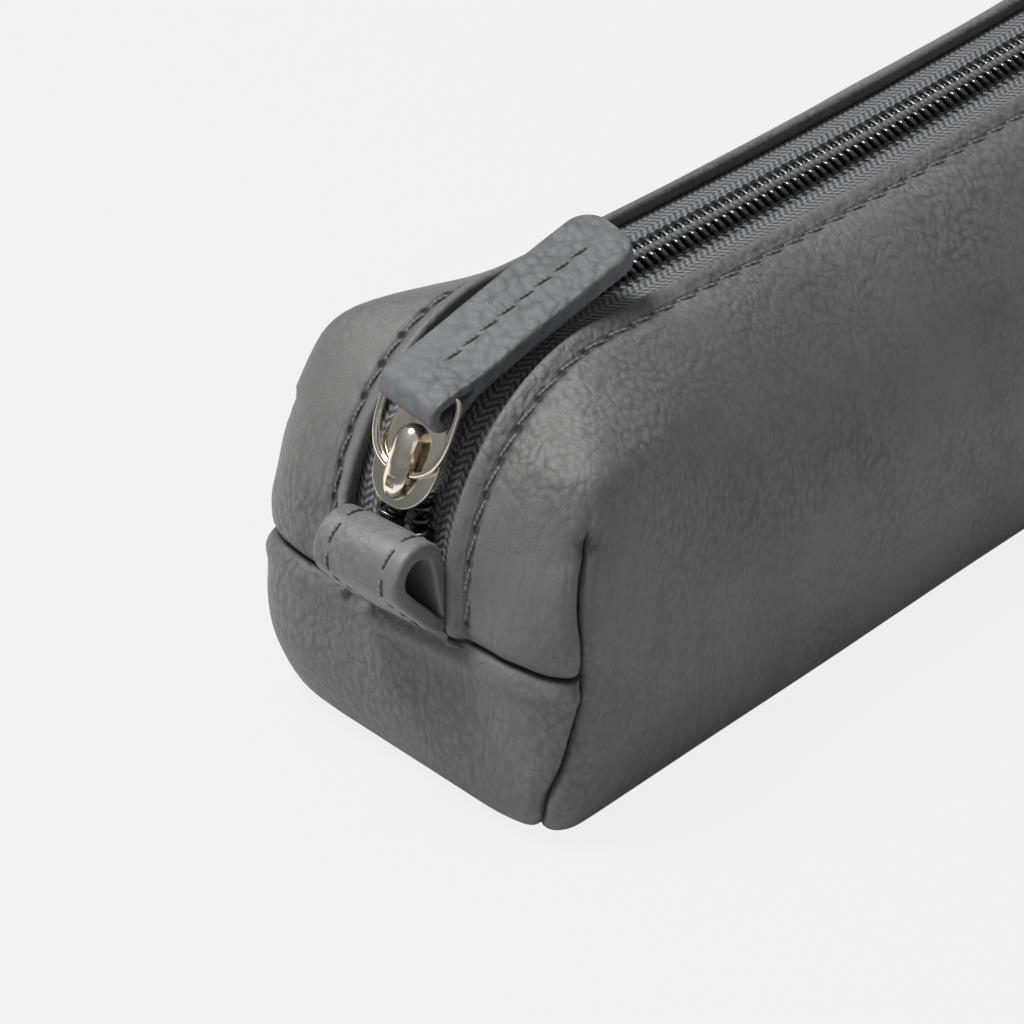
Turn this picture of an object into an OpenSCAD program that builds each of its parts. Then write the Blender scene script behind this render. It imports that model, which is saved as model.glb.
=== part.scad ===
// Boxed zip case for pens: a soft leather loaf with a coil zip over its top and both ends,
// a nickel slider with a pull ring, a folded leather pull tab and a leather end loop.
// Millimetres. +X runs along the case, away from the end that carries the slider,
// Y goes across it, +Z is up, and the origin is the middle of the face it stands on.

/* [Case] */
// Length between the two flat ends of the zip
case_len = 200; // [180:1:230]
// Widest outside width, across the sides
case_w = 50.8; // [46:0.2:58]
// Height of the stitch line above the table, at the shoulders
case_h = 53.4; // [50:0.2:58]
// Radius of the stitch line over each shoulder
shoulder_r = 22.9; // [20:0.1:24]
// How far the top sags half way along
sag = 2.2; // [0.5:0.1:3]
// Height of the seam across each end
seam_z = 23.3; // [20:0.1:25]
// How far the end panels bulge at their widest
end_bulge = 0.8; // [0:0.1:1.5]
// How far each end draws back from its middle to its side corners
end_bow = 1.6; // [0.5:0.1:2.5]
// How much narrower each side is at the ends than half way along
side_bow = 1.1; // [0:0.1:2]

/* [Leather] */
// Thickness of the leather
leather_t = 1.3; // [1:0.05:1.5]
// Thickness of the turned hem beside the zip
hem_t = 2.15; // [2:0.05:2.3]
// Half the opening between the two hems
rim_half = 7.8; // [7.4:0.1:8.4]
// From the hem's folded edge to its row of stitches
hem_stitch = 2.65; // [2.2:0.05:3]
// Thickness of the cloth lining
lining_t = 0.4; // [0.3:0.05:0.5]

/* [Zip] */
// Thickness of the woven tape
tape_t = 0.5; // [0.4:0.05:0.55]
// From the middle of the zip to the tape's inner edge
tape_edge = 1.15; // [1.15:0.01:1.3]
// From the middle of the zip to the tape's outer edge
tape_reach = 10.9; // [10.7:0.05:11.2]
// Spacing of the coil's turns
coil_pitch = 1.5; // [1.4:0.05:1.7]
// Thickness of the coil's thread
coil_wire = 0.66; // [0.6:0.02:0.68]
// Height of the coil above the tape
coil_h = 2.2; // [2.1:0.05:2.3]
// From the middle of the zip to the outside of the coil
coil_reach = 2.8; // [2.6:0.05:2.9]
// How far each turn's head reaches past the middle
coil_head = 0.35; // [0.25:0.05:0.4]

/* [Slider] */
// Where the slider stands on the shoulder, up from the vertical run
slider_angle = 30; // [30:1:34]
// Length of the slider's plates
slider_len = 11.5; // [11:0.1:12]
// Width of the slider's plates
slider_w = 9.2; // [8.9:0.1:9.6]
// Thickness of the upper plate over the coil
plate_t = 0.75; // [0.65:0.05:0.85]
// Thickness of the lower plate
under_t = 1.1; // [0.9:0.05:1.3]
// Width of the arched cap
cap_w = 3; // [2.6:0.1:3.2]
// Height of the cap above the upper plate
cap_h = 2.1; // [2.05:0.05:2.4]
// Thickness of the cap's sheet
cap_t = 0.65; // [0.5:0.05:0.7]
// Thickness of the lock spring
spring_t = 0.2; // [0.15:0.01:0.22]
// Running clearance round what slides
run_gap = 0.2; // [0.15:0.01:0.25]

/* [Pull] */
// Thickness of the stamped pull ring
ring_t = 0.85; // [0.75:0.05:0.9]
// Outside width of the pull ring
ring_w = 11.4; // [11.2:0.1:12]
// From the ring's lower bar to the bar in the tab
ring_len = 10.3; // [10.1:0.1:11]
// Width of each arm of the ring
arm_w = 0.75; // [0.6:0.05:0.8]
// Width of the pull tab
tab_w = 9.4; // [9:0.1:9.6]
// From the ring's bar to the tip of the tab
tab_len = 31; // [28:0.5:36]
// Thickness of one layer of the tab
tab_t = 1.4; // [1.2:0.05:1.45]
// Angle that the tab rises at, from the slider to its tip
tab_rise = 20; // [20:1:28]
// Angle that the tab lies turned to the near side
tab_yaw = 8; // [0:1:8]

/* [Loop] */
// Width of the loop's strap
loop_w = 12.9; // [10:0.1:14]
// Where the middle of the strap stands across the case
loop_y = -1.15; // [-1.5:0.05:0]
// Thickness of the folded strap
loop_t = 2; // [1.8:0.1:2.1]
// Outside radius of the loop's round end
loop_r = 4.2; // [4:0.1:4.3]

/* [Stitching] */
// Spacing of the stitches
stitch_pitch = 4; // [3:0.1:5]
// Thickness of the sewing thread
thread_t = 0.5; // [0.4:0.05:0.6]

/* [Hidden] */
$fn = 48;

hair = 0.05;
stitch_y = rim_half + hem_stitch;
end_x = case_len / 2;
half_w = case_w / 2;
// Turned edge along the top of each end panel
end_band = 1.2;
low_top = seam_z - end_band;

// The stitch line runs up each end, round a shoulder arc about (arc_x, arc_z) and over the top
// in one wide hollow arc about (0, sag_z), whose radii with the shoulder's add up to arcs_apart
arc_x = end_x - shoulder_r;
arc_z = case_h - shoulder_r;
sag_angle = 2 * atan(sag / arc_x);
arcs_apart = arc_x / sin(sag_angle);
sag_z = arc_z + arcs_apart * cos(sag_angle);
flat_x = arc_x - shoulder_r * sin(sag_angle);

// The tape's outer face runs this far under the stitch line, and slopes away under the hem
tape_drop = 1.03;
tape_slope = 30;
tape_bend = rim_half - 0.2;
tape_r = shoulder_r - tape_drop;

function unit(v) = v / max(norm(v), 1e-9);
function mirrored(pts) = concat(pts, [for (k = [1:len(pts)]) [pts[len(pts) - k][0], -pts[len(pts) - k][1]]]);

// Half width of the cross-section as a share of the way from the stitch line to the widest
// place, against the share of the height
side_shape = [[0, 0.67], [0.015, 0.8], [0.04, 0.88], [0.117, 0.967], [0.27, 1], [0.37, 1], [0.47, 0.987],
              [0.605, 0.906], [0.732, 0.773], [0.83, 0.605], [0.914, 0.405], [0.967, 0.237],
              [0.988, 0.124], [1, 0]];
// How far the end panel stands back from its flat, against the share of the panel's height
end_foot = [[0, 4.6], [0.04, 2.9], [0.1, 1.6], [0.26, 0.4], [0.5, 0]];
// Length along the case and squareness of the side corners, against the share of the height
corner_len = [[0, 9], [0.45, 9], [0.6, 11], [0.8, 15], [1, 18]];
corner_square = [[0, 3.2], [0.1, 4.2], [0.5, 4.2], [0.75, 2.8], [1, 2]];

function side_half(z) = stitch_y + (half_w - stitch_y) * lookup(z / case_h, side_shape);
function arc_back(z) = shoulder_r - sqrt(max(pow(shoulder_r, 2) - pow(z - arc_z, 2), 0));
function end_half(z) =
    z > arc_z ? end_x - arc_back(z)
    : end_x - lookup(z / seam_z, end_foot) + end_bulge * sin(180 * min(z / seam_z, 1));

// Height of the stitch line at x, and how far that is under the shoulders
function top_z(x) =
    abs(x) >= arc_x ? case_h
    : abs(x) > flat_x ? arc_z + sqrt(pow(shoulder_r, 2) - pow(arc_x - abs(x), 2))
    : sag_z - sqrt(pow(arcs_apart - shoulder_r, 2) - x * x);
// Outward normal of the zip's path at a point of the stitch line
function path_normal(p) =
    p[2] < arc_z ? [sign(p[0]), 0, 0]
    : abs(p[0]) > flat_x ? unit([p[0] - sign(p[0]) * arc_x, 0, p[2] - arc_z])
    : unit([-p[0], 0, sag_z - p[2]]);

// One point of the outside at height z, from the end at t = 0 round to the side at t = 90
function corner_point(z, t) =
    let (m = 2 / lookup(z / case_h, corner_square), length = lookup(z / case_h, corner_len))
    [end_half(z) - length + length * pow(cos(t), m), stitch_y + (side_half(z) - stitch_y) * pow(sin(t), m)];
// A point drawn in by the bow of the ends and sides and by the sag
function bowed(p, z) =
    let (out = max(abs(p[1]) - stitch_y, 0) / (half_w - stitch_y), along = p[0] / end_x)
    [p[0] * (1 - end_bow / end_x * out * out),
     p[1] - sign(p[1]) * side_bow * min(out, 1) * along * along,
     z - (case_h - top_z(p[0])) * pow(z / case_h, 2)];

// The columns of one side, from the near end's stitch line round to the far end's
function side_columns(z, corner_steps, side_parts) =
    let (end_part = concat([[end_half(z), stitch_y]], [for (t = corner_steps) corner_point(z, t)]),
         n = len(end_part), far = end_part[n - 1])
    concat([for (p = end_part) [-p[0], p[1]]],
           [for (k = [1:side_parts - 1]) [far[0] * (2 * k / side_parts - 1), far[1]]],
           [for (k = [1:n]) end_part[n - k]]);
// A row goes round the case: the side at -Y, the far end, the side at +Y, the near end
function full_row(z, corner_steps, side_parts) =
    let (s = side_columns(z, corner_steps, side_parts), n = len(s), e = end_half(z), w = rim_half - 1.5)
    [for (p = concat([[-e, -w]], [for (p = s) [p[0], -p[1]]], [[e, -w], [e, 0], [e, w]],
                     [for (k = [1:n]) s[n - k]], [[-e, w], [-e, 0]])) bowed(p, z)];
function low_rows(shares) = [for (k = shares) low_top * k];
function high_rows(angles) = concat([(low_top + arc_z) / 2, arc_z], [for (a = angles) arc_z + shoulder_r * sin(a)]);

// Outward normal of a grid of rows at row j and column i, where only the low rows close
function grid_normal(g, j, i, low, n_side) =
    let (n = len(g[0]), first = i == 1 || i == n_side + 4, last = i == n_side || i == 2 * n_side + 3,
         open_row = j > low,
         ahead = open_row && last ? i : (i + 1) % n, back = open_row && first ? i : (i + n - 1) % n,
         up = min(j + 1, len(g) - 1), a = g[j][ahead] - g[j][back],
         b = g[up][i] - g[max(j - 1, 0)][i])
    unit(cross(a, b));
foot_band = 3;
// Leather is thicker along the hem, and thins to one layer away from it
function wall_at(p) =
    p[2] < seam_z - foot_band ? leather_t
    : leather_t + (hem_t - leather_t) * max(0, 1 - max(abs(p[1]) - stitch_y, 0) / 5);
// The lining passes under the tape beside the stitches
function under_tape(p, n) = 0.1 + (1.9 + 0.6 * abs(n[0])) * max(0, 1 - max(abs(p[1]) - stitch_y, 0) / 5)
    * (p[2] < seam_z - foot_band ? 0 : 1);
under_hem = tape_drop + tape_t + 1.4;
function inset(g, low, n_side, lined, depth) =
    [for (j = [0:len(g) - 1]) [for (i = [0:len(g[0]) - 1])
        let (p = g[j][i], n = grid_normal(g, j, i, low, n_side),
             d = wall_at(p) + depth + (lined ? under_tape(p, n) : 0))
        j == 0 ? [p[0] - sign(p[0]) * d * 0.6, p[1] - sign(p[1]) * d * 0.6, d]
        : p[2] < 3 * leather_t ? [p[0] - d * n[0], p[1] - d * n[1], max(p[2] - d * n[2], d + 0.05 * j)]
        : lined && j == len(g) - 1 ? [p[0] - d * n[0], p[1] - d * n[1], p[2] - max(d * n[2], under_hem + depth)]
        : p - d * n]];

// The border of the slot as [row, column, way towards the slot], in order round it
function border(low, top, n_side) =
    let (l1 = 1, l2 = n_side, r1 = n_side + 4, r2 = 2 * n_side + 3, in = [0, hem_stitch, 0],
         up = [0, 0, end_band])
    concat([[low, l1, in + up]], [for (j = [low + 1:top]) [j, l1, in]], [for (i = [l1 + 1:l2]) [top, i, in]],
           [for (j = [1:top - low - 1]) [top - j, l2, in]], [[low, l2, in + up]],
           [for (i = [l2 + 1:l2 + 3]) [low, i, up]],
           [[low, r1, up - in]], [for (j = [low + 1:top]) [j, r1, -in]], [for (i = [r1 + 1:r2]) [top, i, -in]],
           [for (j = [1:top - low - 1]) [top - j, r2, -in]], [[low, r2, up - in]],
           [[low, r2 + 1, up], [low, r2 + 2, up], [low, 0, up]]);

// A bag with one slot: two skins of the same grid, joined round the slot's border by chains of
// points that run from the outer skin to the inner one
module slotted_bag(outer, inner, low, n_side, rim, chains) {
    rows = len(outer);
    cols = len(outer[0]);
    skin = rows * cols;
    links = len(chains[0]);
    n_rim = len(rim);
    points = concat([for (r = outer) each r], [for (r = inner) each r], [for (c = chains) each c],
                    [[0, 0, outer[0][0][2]], [0, 0, inner[0][0][2]]]);
    base = 2 * skin + n_rim * links;
    function at(s, j, i) = s * skin + j * cols + i % cols;
    function link(k, m) =
        let (b = rim[k % n_rim])
        m == 0 ? at(0, b[0], b[1]) : m > links ? at(1, b[0], b[1])
        : 2 * skin + (k % n_rim) * links + m - 1;
    cells = concat([for (j = [0:low - 1]) for (i = [0:cols - 1]) [j, i]],
                   [for (j = [low:rows - 2]) for (i = [1:n_side - 1]) each [[j, i], [j, i + n_side + 3]]]);
    faces = concat(
        [for (c = cells) let (j = c[0], i = c[1])
            each [[at(0, j, i), at(0, j + 1, i), at(0, j + 1, i + 1)], [at(0, j, i), at(0, j + 1, i + 1), at(0, j, i + 1)],
                  [at(1, j, i), at(1, j + 1, i + 1), at(1, j + 1, i)], [at(1, j, i), at(1, j, i + 1), at(1, j + 1, i + 1)]]],
        [for (i = [0:cols - 1]) each [[base, at(0, 0, i), at(0, 0, i + 1)], [base + 1, at(1, 0, i + 1), at(1, 0, i)]]],
        [for (k = [0:n_rim - 1]) for (m = [0:links])
            each [[link(k, m), link(k, m + 1), link(k + 1, m + 1)], [link(k, m), link(k + 1, m + 1), link(k + 1, m)]]]);
    polyhedron(points, faces, convexity = 8);
}

// Hem cross-section: share of the way to the folded edge, and height over the stitch surface
hem_rise = hem_t - tape_drop;
hem_shape = [[0.5, hem_rise * 0.62], [0.85, hem_rise], [1, hem_rise * 0.68], [1.03, 0.1],
             [0.98, -tape_drop + 0.2], [0.8, -tape_drop - 0.12]];
panel_shape = [[0.5, 0.1], [0.85, 0.12], [1, -0.1], [1.03, -leather_t / 2], [0.98, -leather_t],
               [0.8, -leather_t - 0.1]];

body_steps = [15, 31, 46, 60, 74, 90];
body_side = 9;
body_low = low_rows([0, 0.035, 0.1, 0.24, 0.5, 0.78, 1]);
body_rows = concat(body_low, high_rows([9, 18, 27, 36, 45, 54, 63, 71, 79, 85, 90]));
body_n = 2 * len(body_steps) + body_side + 1;
lining_steps = [25, 52, 90];
lining_low = low_rows([0, 0.1, 0.24, 0.6, 1]);
lining_rows = concat(lining_low, high_rows([18, 36, 52, 66, 79, 90]));
lining_side = 4;
lining_n = 2 * len(lining_steps) + lining_side + 1;

module leather_body() {
    low = len(body_low) - 1;
    outer = [for (z = body_rows) full_row(z, body_steps, body_side)];
    inner = inset(outer, low, body_n, false, 0);
    rim = border(low, len(outer) - 1, body_n);
    chains = [for (b = rim)
        let (p = outer[b[0]][b[1]], n = path_normal(p), at_end = b[2][1] == 0)
        [for (m = [0:len(hem_shape) - 1])
            let (h = at_end ? panel_shape[m] : b[2][2] > 0 ? (hem_shape[m] + panel_shape[m]) / 2 : hem_shape[m])
            p + b[2] * h[0] + n * h[1]]];
    color("#5b5f63") slotted_bag(outer, inner, low, body_n, rim, chains);
}

module lining() {
    low = len(lining_low) - 1;
    grid = [for (z = lining_rows) full_row(z, lining_steps, lining_side)];
    outer = inset(grid, low, lining_n, true, 0);
    inner = inset(grid, low, lining_n, true, lining_t);
    rim = border(low, len(grid) - 1, lining_n);
    chains = [for (b = rim) [(outer[b[0]][b[1]] + inner[b[0]][b[1]]) / 2 + [0, 0, 0.02]]];
    color("#33363a") slotted_bag(outer, inner, low, lining_n, rim, chains);
}

// Zip path: lengths along the tape's outer face from its lower end, and the frame at a length
zip_start = seam_z + loop_t + 0.5;
rise_len = arc_z - zip_start;
bend_len = tape_r * PI * (90 + sag_angle) / 180;
hollow_r = arcs_apart - tape_r;
half_len = rise_len + bend_len + hollow_r * PI * sag_angle / 180;
// [x, z, heading] of the path, where heading is the way it runs, up from +X
function station_near(l) =
    l <= rise_len ? [-arc_x - tape_r, zip_start + l, 90]
    : l <= rise_len + bend_len
        ? let (a = (l - rise_len) / tape_r * 180 / PI) [-arc_x - tape_r * cos(a), arc_z + tape_r * sin(a), 90 - a]
    : let (a = (half_len - l) / hollow_r * 180 / PI) [-hollow_r * sin(a), sag_z - hollow_r * cos(a), -a];
function station(l) =
    l <= half_len ? station_near(l)
    : let (s = station_near(2 * half_len - l)) [-s[0], s[1], -s[2]];
// Places children with their X along the path, Y across the case and Z outwards
module on_path(l) {
    s = station(l);
    translate([s[0], 0, s[1]]) rotate([0, -s[2], 0]) children();
}
// Sweeps a profile along the path: its X is the height over the tape, its Y the place across
module sweep_rise(from) {
    translate([-arc_x - tape_r, 0, from]) linear_extrude(arc_z - from) mirror([1, 0]) children();
}
module sweep_bend(from, to) {
    translate([-arc_x, 0, arc_z]) rotate([90, 0, 0]) rotate([0, 0, 180 - to])
        rotate_extrude(angle = to - from) translate([tape_r, 0]) mirror([0, 1]) children();
}
module sweep_hollow() {
    translate([0, 0, sag_z]) rotate([90, 0, 0]) rotate([0, 0, 270 - sag_angle])
        rotate_extrude(angle = 2 * sag_angle, $fn = 900) translate([hollow_r, 0]) rotate(180) children();
}

tape_out = [tape_bend + (tape_reach - tape_bend), -(tape_reach - tape_bend) * tan(tape_slope)];
module tape_profile() {
    polygon([[0, tape_edge], [0, tape_bend], [tape_out[1], tape_out[0]], [tape_out[1] - tape_t, tape_out[0]],
             [-tape_t, tape_bend - tape_t * tan(tape_slope / 2)], [-tape_t, tape_edge]]);
}
module zip_tape(side) {
    for (m = [0, 1]) mirror([m, 0, 0]) {
        sweep_rise(m == 0 ? zip_start : seam_z + 2 * hair) scale_y(side) tape_profile();
        sweep_bend(0, 90 + sag_angle) scale_y(side) tape_profile();
    }
    sweep_hollow() scale_y(side) tape_profile();
}
// A profile is drawn for the side at +Y, and turned over for the side at -Y
module scale_y(side) {
    mirror([0, side < 0 ? 1 : 0]) children();
}
module zip_tape_left() { color("#3a3c40") zip_tape(-1); }
module zip_tape_right() { color("#3a3c40") zip_tape(1); }

// The slider's own frame: X up the shoulder, Y across the case, Z outwards from the tape
// The end loop's eye, which the coil, its stop and the slider keep clear of
loop_out = 5;
loop_z = seam_z + 10;
loop_clear = 0.5;
cap_top = coil_h + run_gap + plate_t + cap_h;
cap_nose = 4.9;
least_angle = asin((loop_z + loop_r + loop_clear - arc_z) / norm([tape_r + cap_top, cap_nose]))
    + atan(cap_nose / (tape_r + cap_top));
slider_at = max(slider_angle, least_angle);
slider_l = rise_len + tape_r * PI * slider_at / 180;
module on_slider() {
    on_path(slider_l) children();
}
function slider_point(s, n) =
    let (a = slider_at)
    [-arc_x - tape_r * cos(a) + s * sin(a) - n * cos(a), arc_z + tape_r * sin(a) + s * cos(a) + n * sin(a)];

// The coil's halves part inside the slider, and stay parted down to the bottom stop
post_half = 0.7;
parted = post_half + run_gap / 2 + coil_head;
part_from = -2.8;
part_to = 1.6;
function coil_shift(l) = parted * min(max((part_to - (l - slider_l)) / (part_to - part_from), 0), 1);
start_z = loop_z + loop_r / 2 + 0.1;
coil_first = start_z < arc_z ? start_z - zip_start : rise_len + tape_r * PI * asin((start_z - arc_z) / tape_r) / 180;
coil_last = 2 * half_len - rise_len;
cord_in = coil_reach * 0.55;
cord_out = coil_reach * 0.9;
cord_low = coil_h * 0.3;
cord_high = coil_h * 0.62;
module turn() {
    translate([-coil_wire / 2, 0, 0]) rotate([90, 0, 90]) linear_extrude(coil_wire)
        polygon([[-coil_head, coil_h * 0.25], [coil_reach, hair], [coil_reach - 0.5, coil_h],
                 [-coil_head, coil_h * 0.8]]);
}
module cord_profile() {
    polygon([[cord_low, cord_in], [cord_high, (cord_in + cord_out) / 2], [cord_low, cord_out]]);
}
function bend_angle(l) = (l - rise_len) / tape_r * 180 / PI;
module zip_coil(side) {
    first = coil_first + (side < 0 ? 0 : coil_pitch / 2);
    count = floor((coil_last - coil_wire - first) / coil_pitch);
    for (k = [0:count]) {
        l = first + k * coil_pitch;
        on_path(l) translate([0, side * coil_shift(l), 0]) mirror([0, side < 0 ? 1 : 0, 0]) turn();
    }
    // The filler cord that carries the turns
    sweep_bend(bend_angle(coil_first), bend_angle(slider_l + part_from)) scale_y(side) translate([0, parted])
        cord_profile();
    sweep_bend(bend_angle(slider_l + part_to), 90 + sag_angle) scale_y(side) cord_profile();
    on_slider() mirror([0, side < 0 ? 1 : 0, 0]) translate([0, 0, cord_low]) linear_extrude(cord_high - cord_low)
        polygon([[part_from - 0.3, cord_in + parted], [part_to + 0.3, cord_in], [part_to + 0.3, cord_out],
                 [part_from - 0.3, cord_out + parted]]);
    sweep_hollow() scale_y(side) cord_profile();
    mirror([1, 0, 0]) sweep_bend(0, 90 + sag_angle) scale_y(side) cord_profile();
}
module zip_coil_left() { color("#1d1e20") zip_coil(-1); }
module zip_coil_right() { color("#1d1e20") zip_coil(1); }

// A pressed bar across both tapes, where the slider comes to rest
stop_len = 1.3;
module bottom_stop() {
    color("#1d1e20") on_path(coil_first - coil_wire / 2 - 0.1 - stop_len / 2)
        translate([0, 0, hair]) difference() {
            translate([-stop_len / 2, -coil_reach - parted, 0]) cube([stop_len, 2 * (coil_reach + parted), 1.2]);
            for (m = [-1, 1]) translate([0, m * (coil_reach + parted), 1.2]) rotate([m * 45, 0, 0])
                cube([stop_len + 1, 0.8, 0.8], center = true);
        }
}

// Pressed clips on the two ends of the coil, at the far end
module top_stops() {
    color("#1d1e20") on_path(coil_last + 0.4 + stop_len / 2) for (m = [0, 1]) mirror([0, m, 0])
        translate([-stop_len / 2, 0.25, hair]) difference() {
            cube([stop_len, coil_reach - 0.25, coil_h - 0.1]);
            translate([-1, coil_reach - 0.25, coil_h - 0.1]) rotate([45, 0, 0])
                cube([stop_len + 2, 0.9, 0.9], center = true);
        }
}

// Stitches along the stitch line, lying on the slope of the hem
rim_slope = 26;
module rim_stitches(side) {
    reach = 2 * half_len * shoulder_r / tape_r;
    first = rise_len + 1;
    count = floor((2 * half_len - 2 * rise_len - 2) / stitch_pitch);
    step = (2 * half_len - 2 * first) / count;
    for (k = [0:count]) on_path(first - 4 + (k + 0.5) * (2 * half_len - 2 * first + 8) / (count + 1))
        translate([0, side * stitch_y, tape_drop]) rotate([side * rim_slope, 0, 0])
            translate([0, 0, thread_t / 2 + 0.27]) cube([stitch_pitch * 0.72, thread_t, thread_t], center = true);
}
module rim_stitches_left() { color("#4a4d51") rim_stitches(-1); }
module rim_stitches_right() { color("#4a4d51") rim_stitches(1); }

// End loop: a folded strap whose tail is caught over the seam, under the end of the zip
root = [-1.1, seam_z + 2.4];
eye = [-loop_out, loop_z];
// Quadrilateral between the outer tangents of two circles
function tangent_quad(a, ra, b, rb) =
    let (d = norm(b - a), base = atan2(b[1] - a[1], b[0] - a[0]), t = acos((ra - rb) / d))
    [for (q = [[a, ra, t], [a, ra, -t], [b, rb, -t], [b, rb, t]])
        q[0] + q[1] * [cos(base + q[2]), sin(base + q[2])]];
module drop_shape(a, ra, b, rb) {
    translate(a) circle(ra);
    translate(b) circle(rb);
    polygon(tangent_quad(a, ra, b, rb));
}
module end_loop() {
    color("#63676c") translate([-end_x, loop_y + loop_w / 2, 0]) rotate([90, 0, 0]) linear_extrude(loop_w)
        difference() {
            union() {
                drop_shape(eye, loop_r, root, 1.75);
                translate([root[0], seam_z + 0.15 + 0.5]) square([4.2 - root[0], loop_t - 0.3]);
            }
            drop_shape(eye, loop_r - loop_t, root + [0.05, 1.1], 0.3);
        }
}
module loop_stitches() {
    gap_angle = 2 * asin(stitch_pitch * 0.55 / 2 / loop_r);
    color("#4a4d51") for (m = [-1, 1]) for (k = [-2:2])
        translate([-end_x + eye[0], loop_y + m * (loop_w / 2 - 2.3), eye[1]]) rotate([0, k * gap_angle + 52, 0])
            translate([-loop_r - thread_t / 2 - 0.03, 0, 0]) cube([thread_t, thread_t, stitch_pitch * 0.4], center = true);
}

// Slider: two plates and a post, in the slider's own frame
plate_low = coil_h + run_gap;
plate_high = plate_low + plate_t;
arc_fall = pow(slider_len / 2, 2) / (2 * tape_r);
under_high = -tape_t - arc_fall - run_gap;
// Half width of the plates against the place along them, from the nose to the tail
plate_shape = [[-1, 0.18], [-0.97, 0.34], [-0.9, 0.52], [-0.78, 0.7], [-0.56, 0.88], [-0.3, 0.97], [0, 1],
               [0.26, 0.96], [0.52, 0.88], [0.8, 0.82], [0.96, 0.78], [1, 0.7]];
function plate_outline(half) = mirrored([for (p = plate_shape) [p[0] * slider_len / 2, p[1] * half]]);
function flange_in(s) = coil_reach + run_gap + coil_shift(slider_l + s) * 0.98;
flange_steps = [-2.4, -1.2, 0, 1.2, 2.4, 3.6, 4.8, slider_len / 2];
pin_s = 3;
module slider_body() {
    color("#c9c7c1") on_slider() {
        difference() {
            translate([0, 0, plate_low]) linear_extrude(plate_t) polygon(plate_outline(slider_w / 2));
            translate([pin_s, 0, plate_low - 1]) cylinder(h = plate_t + 2, r = 0.5);
        }
        translate([0, 0, under_high - under_t]) linear_extrude(under_t) polygon(plate_outline(slider_w / 2));
        // Post between the plates, at the nose
        translate([0, 0, under_high - 0.2]) linear_extrude(plate_low - under_high + 0.4)
            polygon(mirrored([[-4.9, 0.25], [-4.3, post_half], [-2.6, post_half], [-1.2, 0.25]]));
        // Flanges beside the coil
        for (m = [0, 1]) mirror([0, m, 0]) translate([0, 0, run_gap + 0.1]) linear_extrude(plate_low - run_gap)
            polygon(concat([for (s = flange_steps) [s, flange_in(s)]],
                           [for (k = [1:len(flange_steps)]) let (s = flange_steps[len(flange_steps) - k])
                               [s, max(flange_in(s) + 0.35, slider_w / 2 * lookup(2 * s / slider_len, plate_shape))]]));
    }
}

// Cap: an arched strip on the upper plate, with a window over its nose end
cap_back = -4.9;
cap_front = 4.3;
function cap_side(d) =
    let (h = plate_high + cap_h - d, a = cap_back + d, b = cap_front - d)
    [[a, plate_high + hair], [a, h - 1.1], [a + 0.35, h - 0.5], [a + 1.1, h - 0.12], [a + 2.4, h], [b - 2.9, h],
     [b - 1.3, h - 0.2], [b - 0.35, h - 0.6], [b, h - 1.2], [b, plate_high + hair]];
module slider_cap() {
    color("#d2d0ca") on_slider() difference() {
        translate([0, cap_w / 2, 0]) rotate([90, 0, 0]) linear_extrude(cap_w) difference() {
            polygon(cap_side(0));
            translate([0, -hair * 2]) polygon(cap_side(cap_t));
        }
        translate([-3.6, -0.75, plate_high + cap_h - 1.3]) cube([1.3, 1.5, 2]);
    }
}

// Lock spring: a leaf that lies along the inside of the cap, with a pin that drops through the plate
bar_r = ring_t / 2;
bar_s = -1.4;
bar_n = plate_high + 0.2 + bar_r;
leaf_w = 2;
pin_w = 0.8;
leaf_top = [[-2.1, -0.04], [0.75, -0.04], [2.35, -0.24], [3.2, -0.6]];
module lock_spring() {
    roof = plate_high + cap_h - cap_t - 2 * hair;
    color("#b9b7b0") on_slider() {
        translate([0, leaf_w / 2, roof]) rotate([90, 0, 0]) linear_extrude(leaf_w)
            polygon(concat(leaf_top, [for (k = [1:4]) leaf_top[4 - k] - [0, spring_t]]));
        translate([pin_s - spring_t / 2, -pin_w / 2, coil_h + hair])
            cube([spring_t, pin_w, roof - 0.55 - coil_h]);
    }
}

// Pull ring, in its own frame: X from the lower bar to the bar in the tab
ring_tilt = 4.5;
module on_ring() {
    on_slider() translate([bar_s, 0, bar_n]) rotate([0, -ring_tilt, 0]) children();
}
bar_point = slider_point(bar_s + ring_len * cos(ring_tilt), bar_n + ring_len * sin(ring_tilt));
function ring_outline(half, from, to, corner) =
    let (l = to - from)
    mirrored([[from, 0.36 * half], [from + 0.05 * l, 0.6 * half], [from + 0.13 * l, 0.78 * half],
              [from + 0.28 * l, 0.92 * half], [from + 0.45 * l, 0.99 * half], [from + 0.6 * l, half],
              [to - corner, half], [to - 0.3 * corner, half - 0.3 * corner], [to, half - corner]]);
module ring_bar(half) {
    rotate([90, 0, 0]) cylinder(h = 2 * half, r = bar_r, center = true);
}
module pull_ring() {
    inner = ring_w / 2 - arm_w;
    color("#cfcdc7") on_ring() {
        difference() {
            translate([0, 0, -ring_t / 2]) linear_extrude(ring_t) difference() {
                polygon(ring_outline(ring_w / 2, -bar_r, ring_len + bar_r, 1));
                polygon(ring_outline(inner, bar_r, ring_len - bar_r, 0.1));
            }
            translate([-1, -0.36 * inner, -1]) cube([2, 0.72 * inner, 2]);
            translate([ring_len - bar_r - 0.01, -inner, -1]) cube([2, 2 * inner, 2]);
        }
        ring_bar(0.36 * inner + 0.2);
        translate([ring_len, 0, 0]) ring_bar(inner + 0.2);
    }
}

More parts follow.
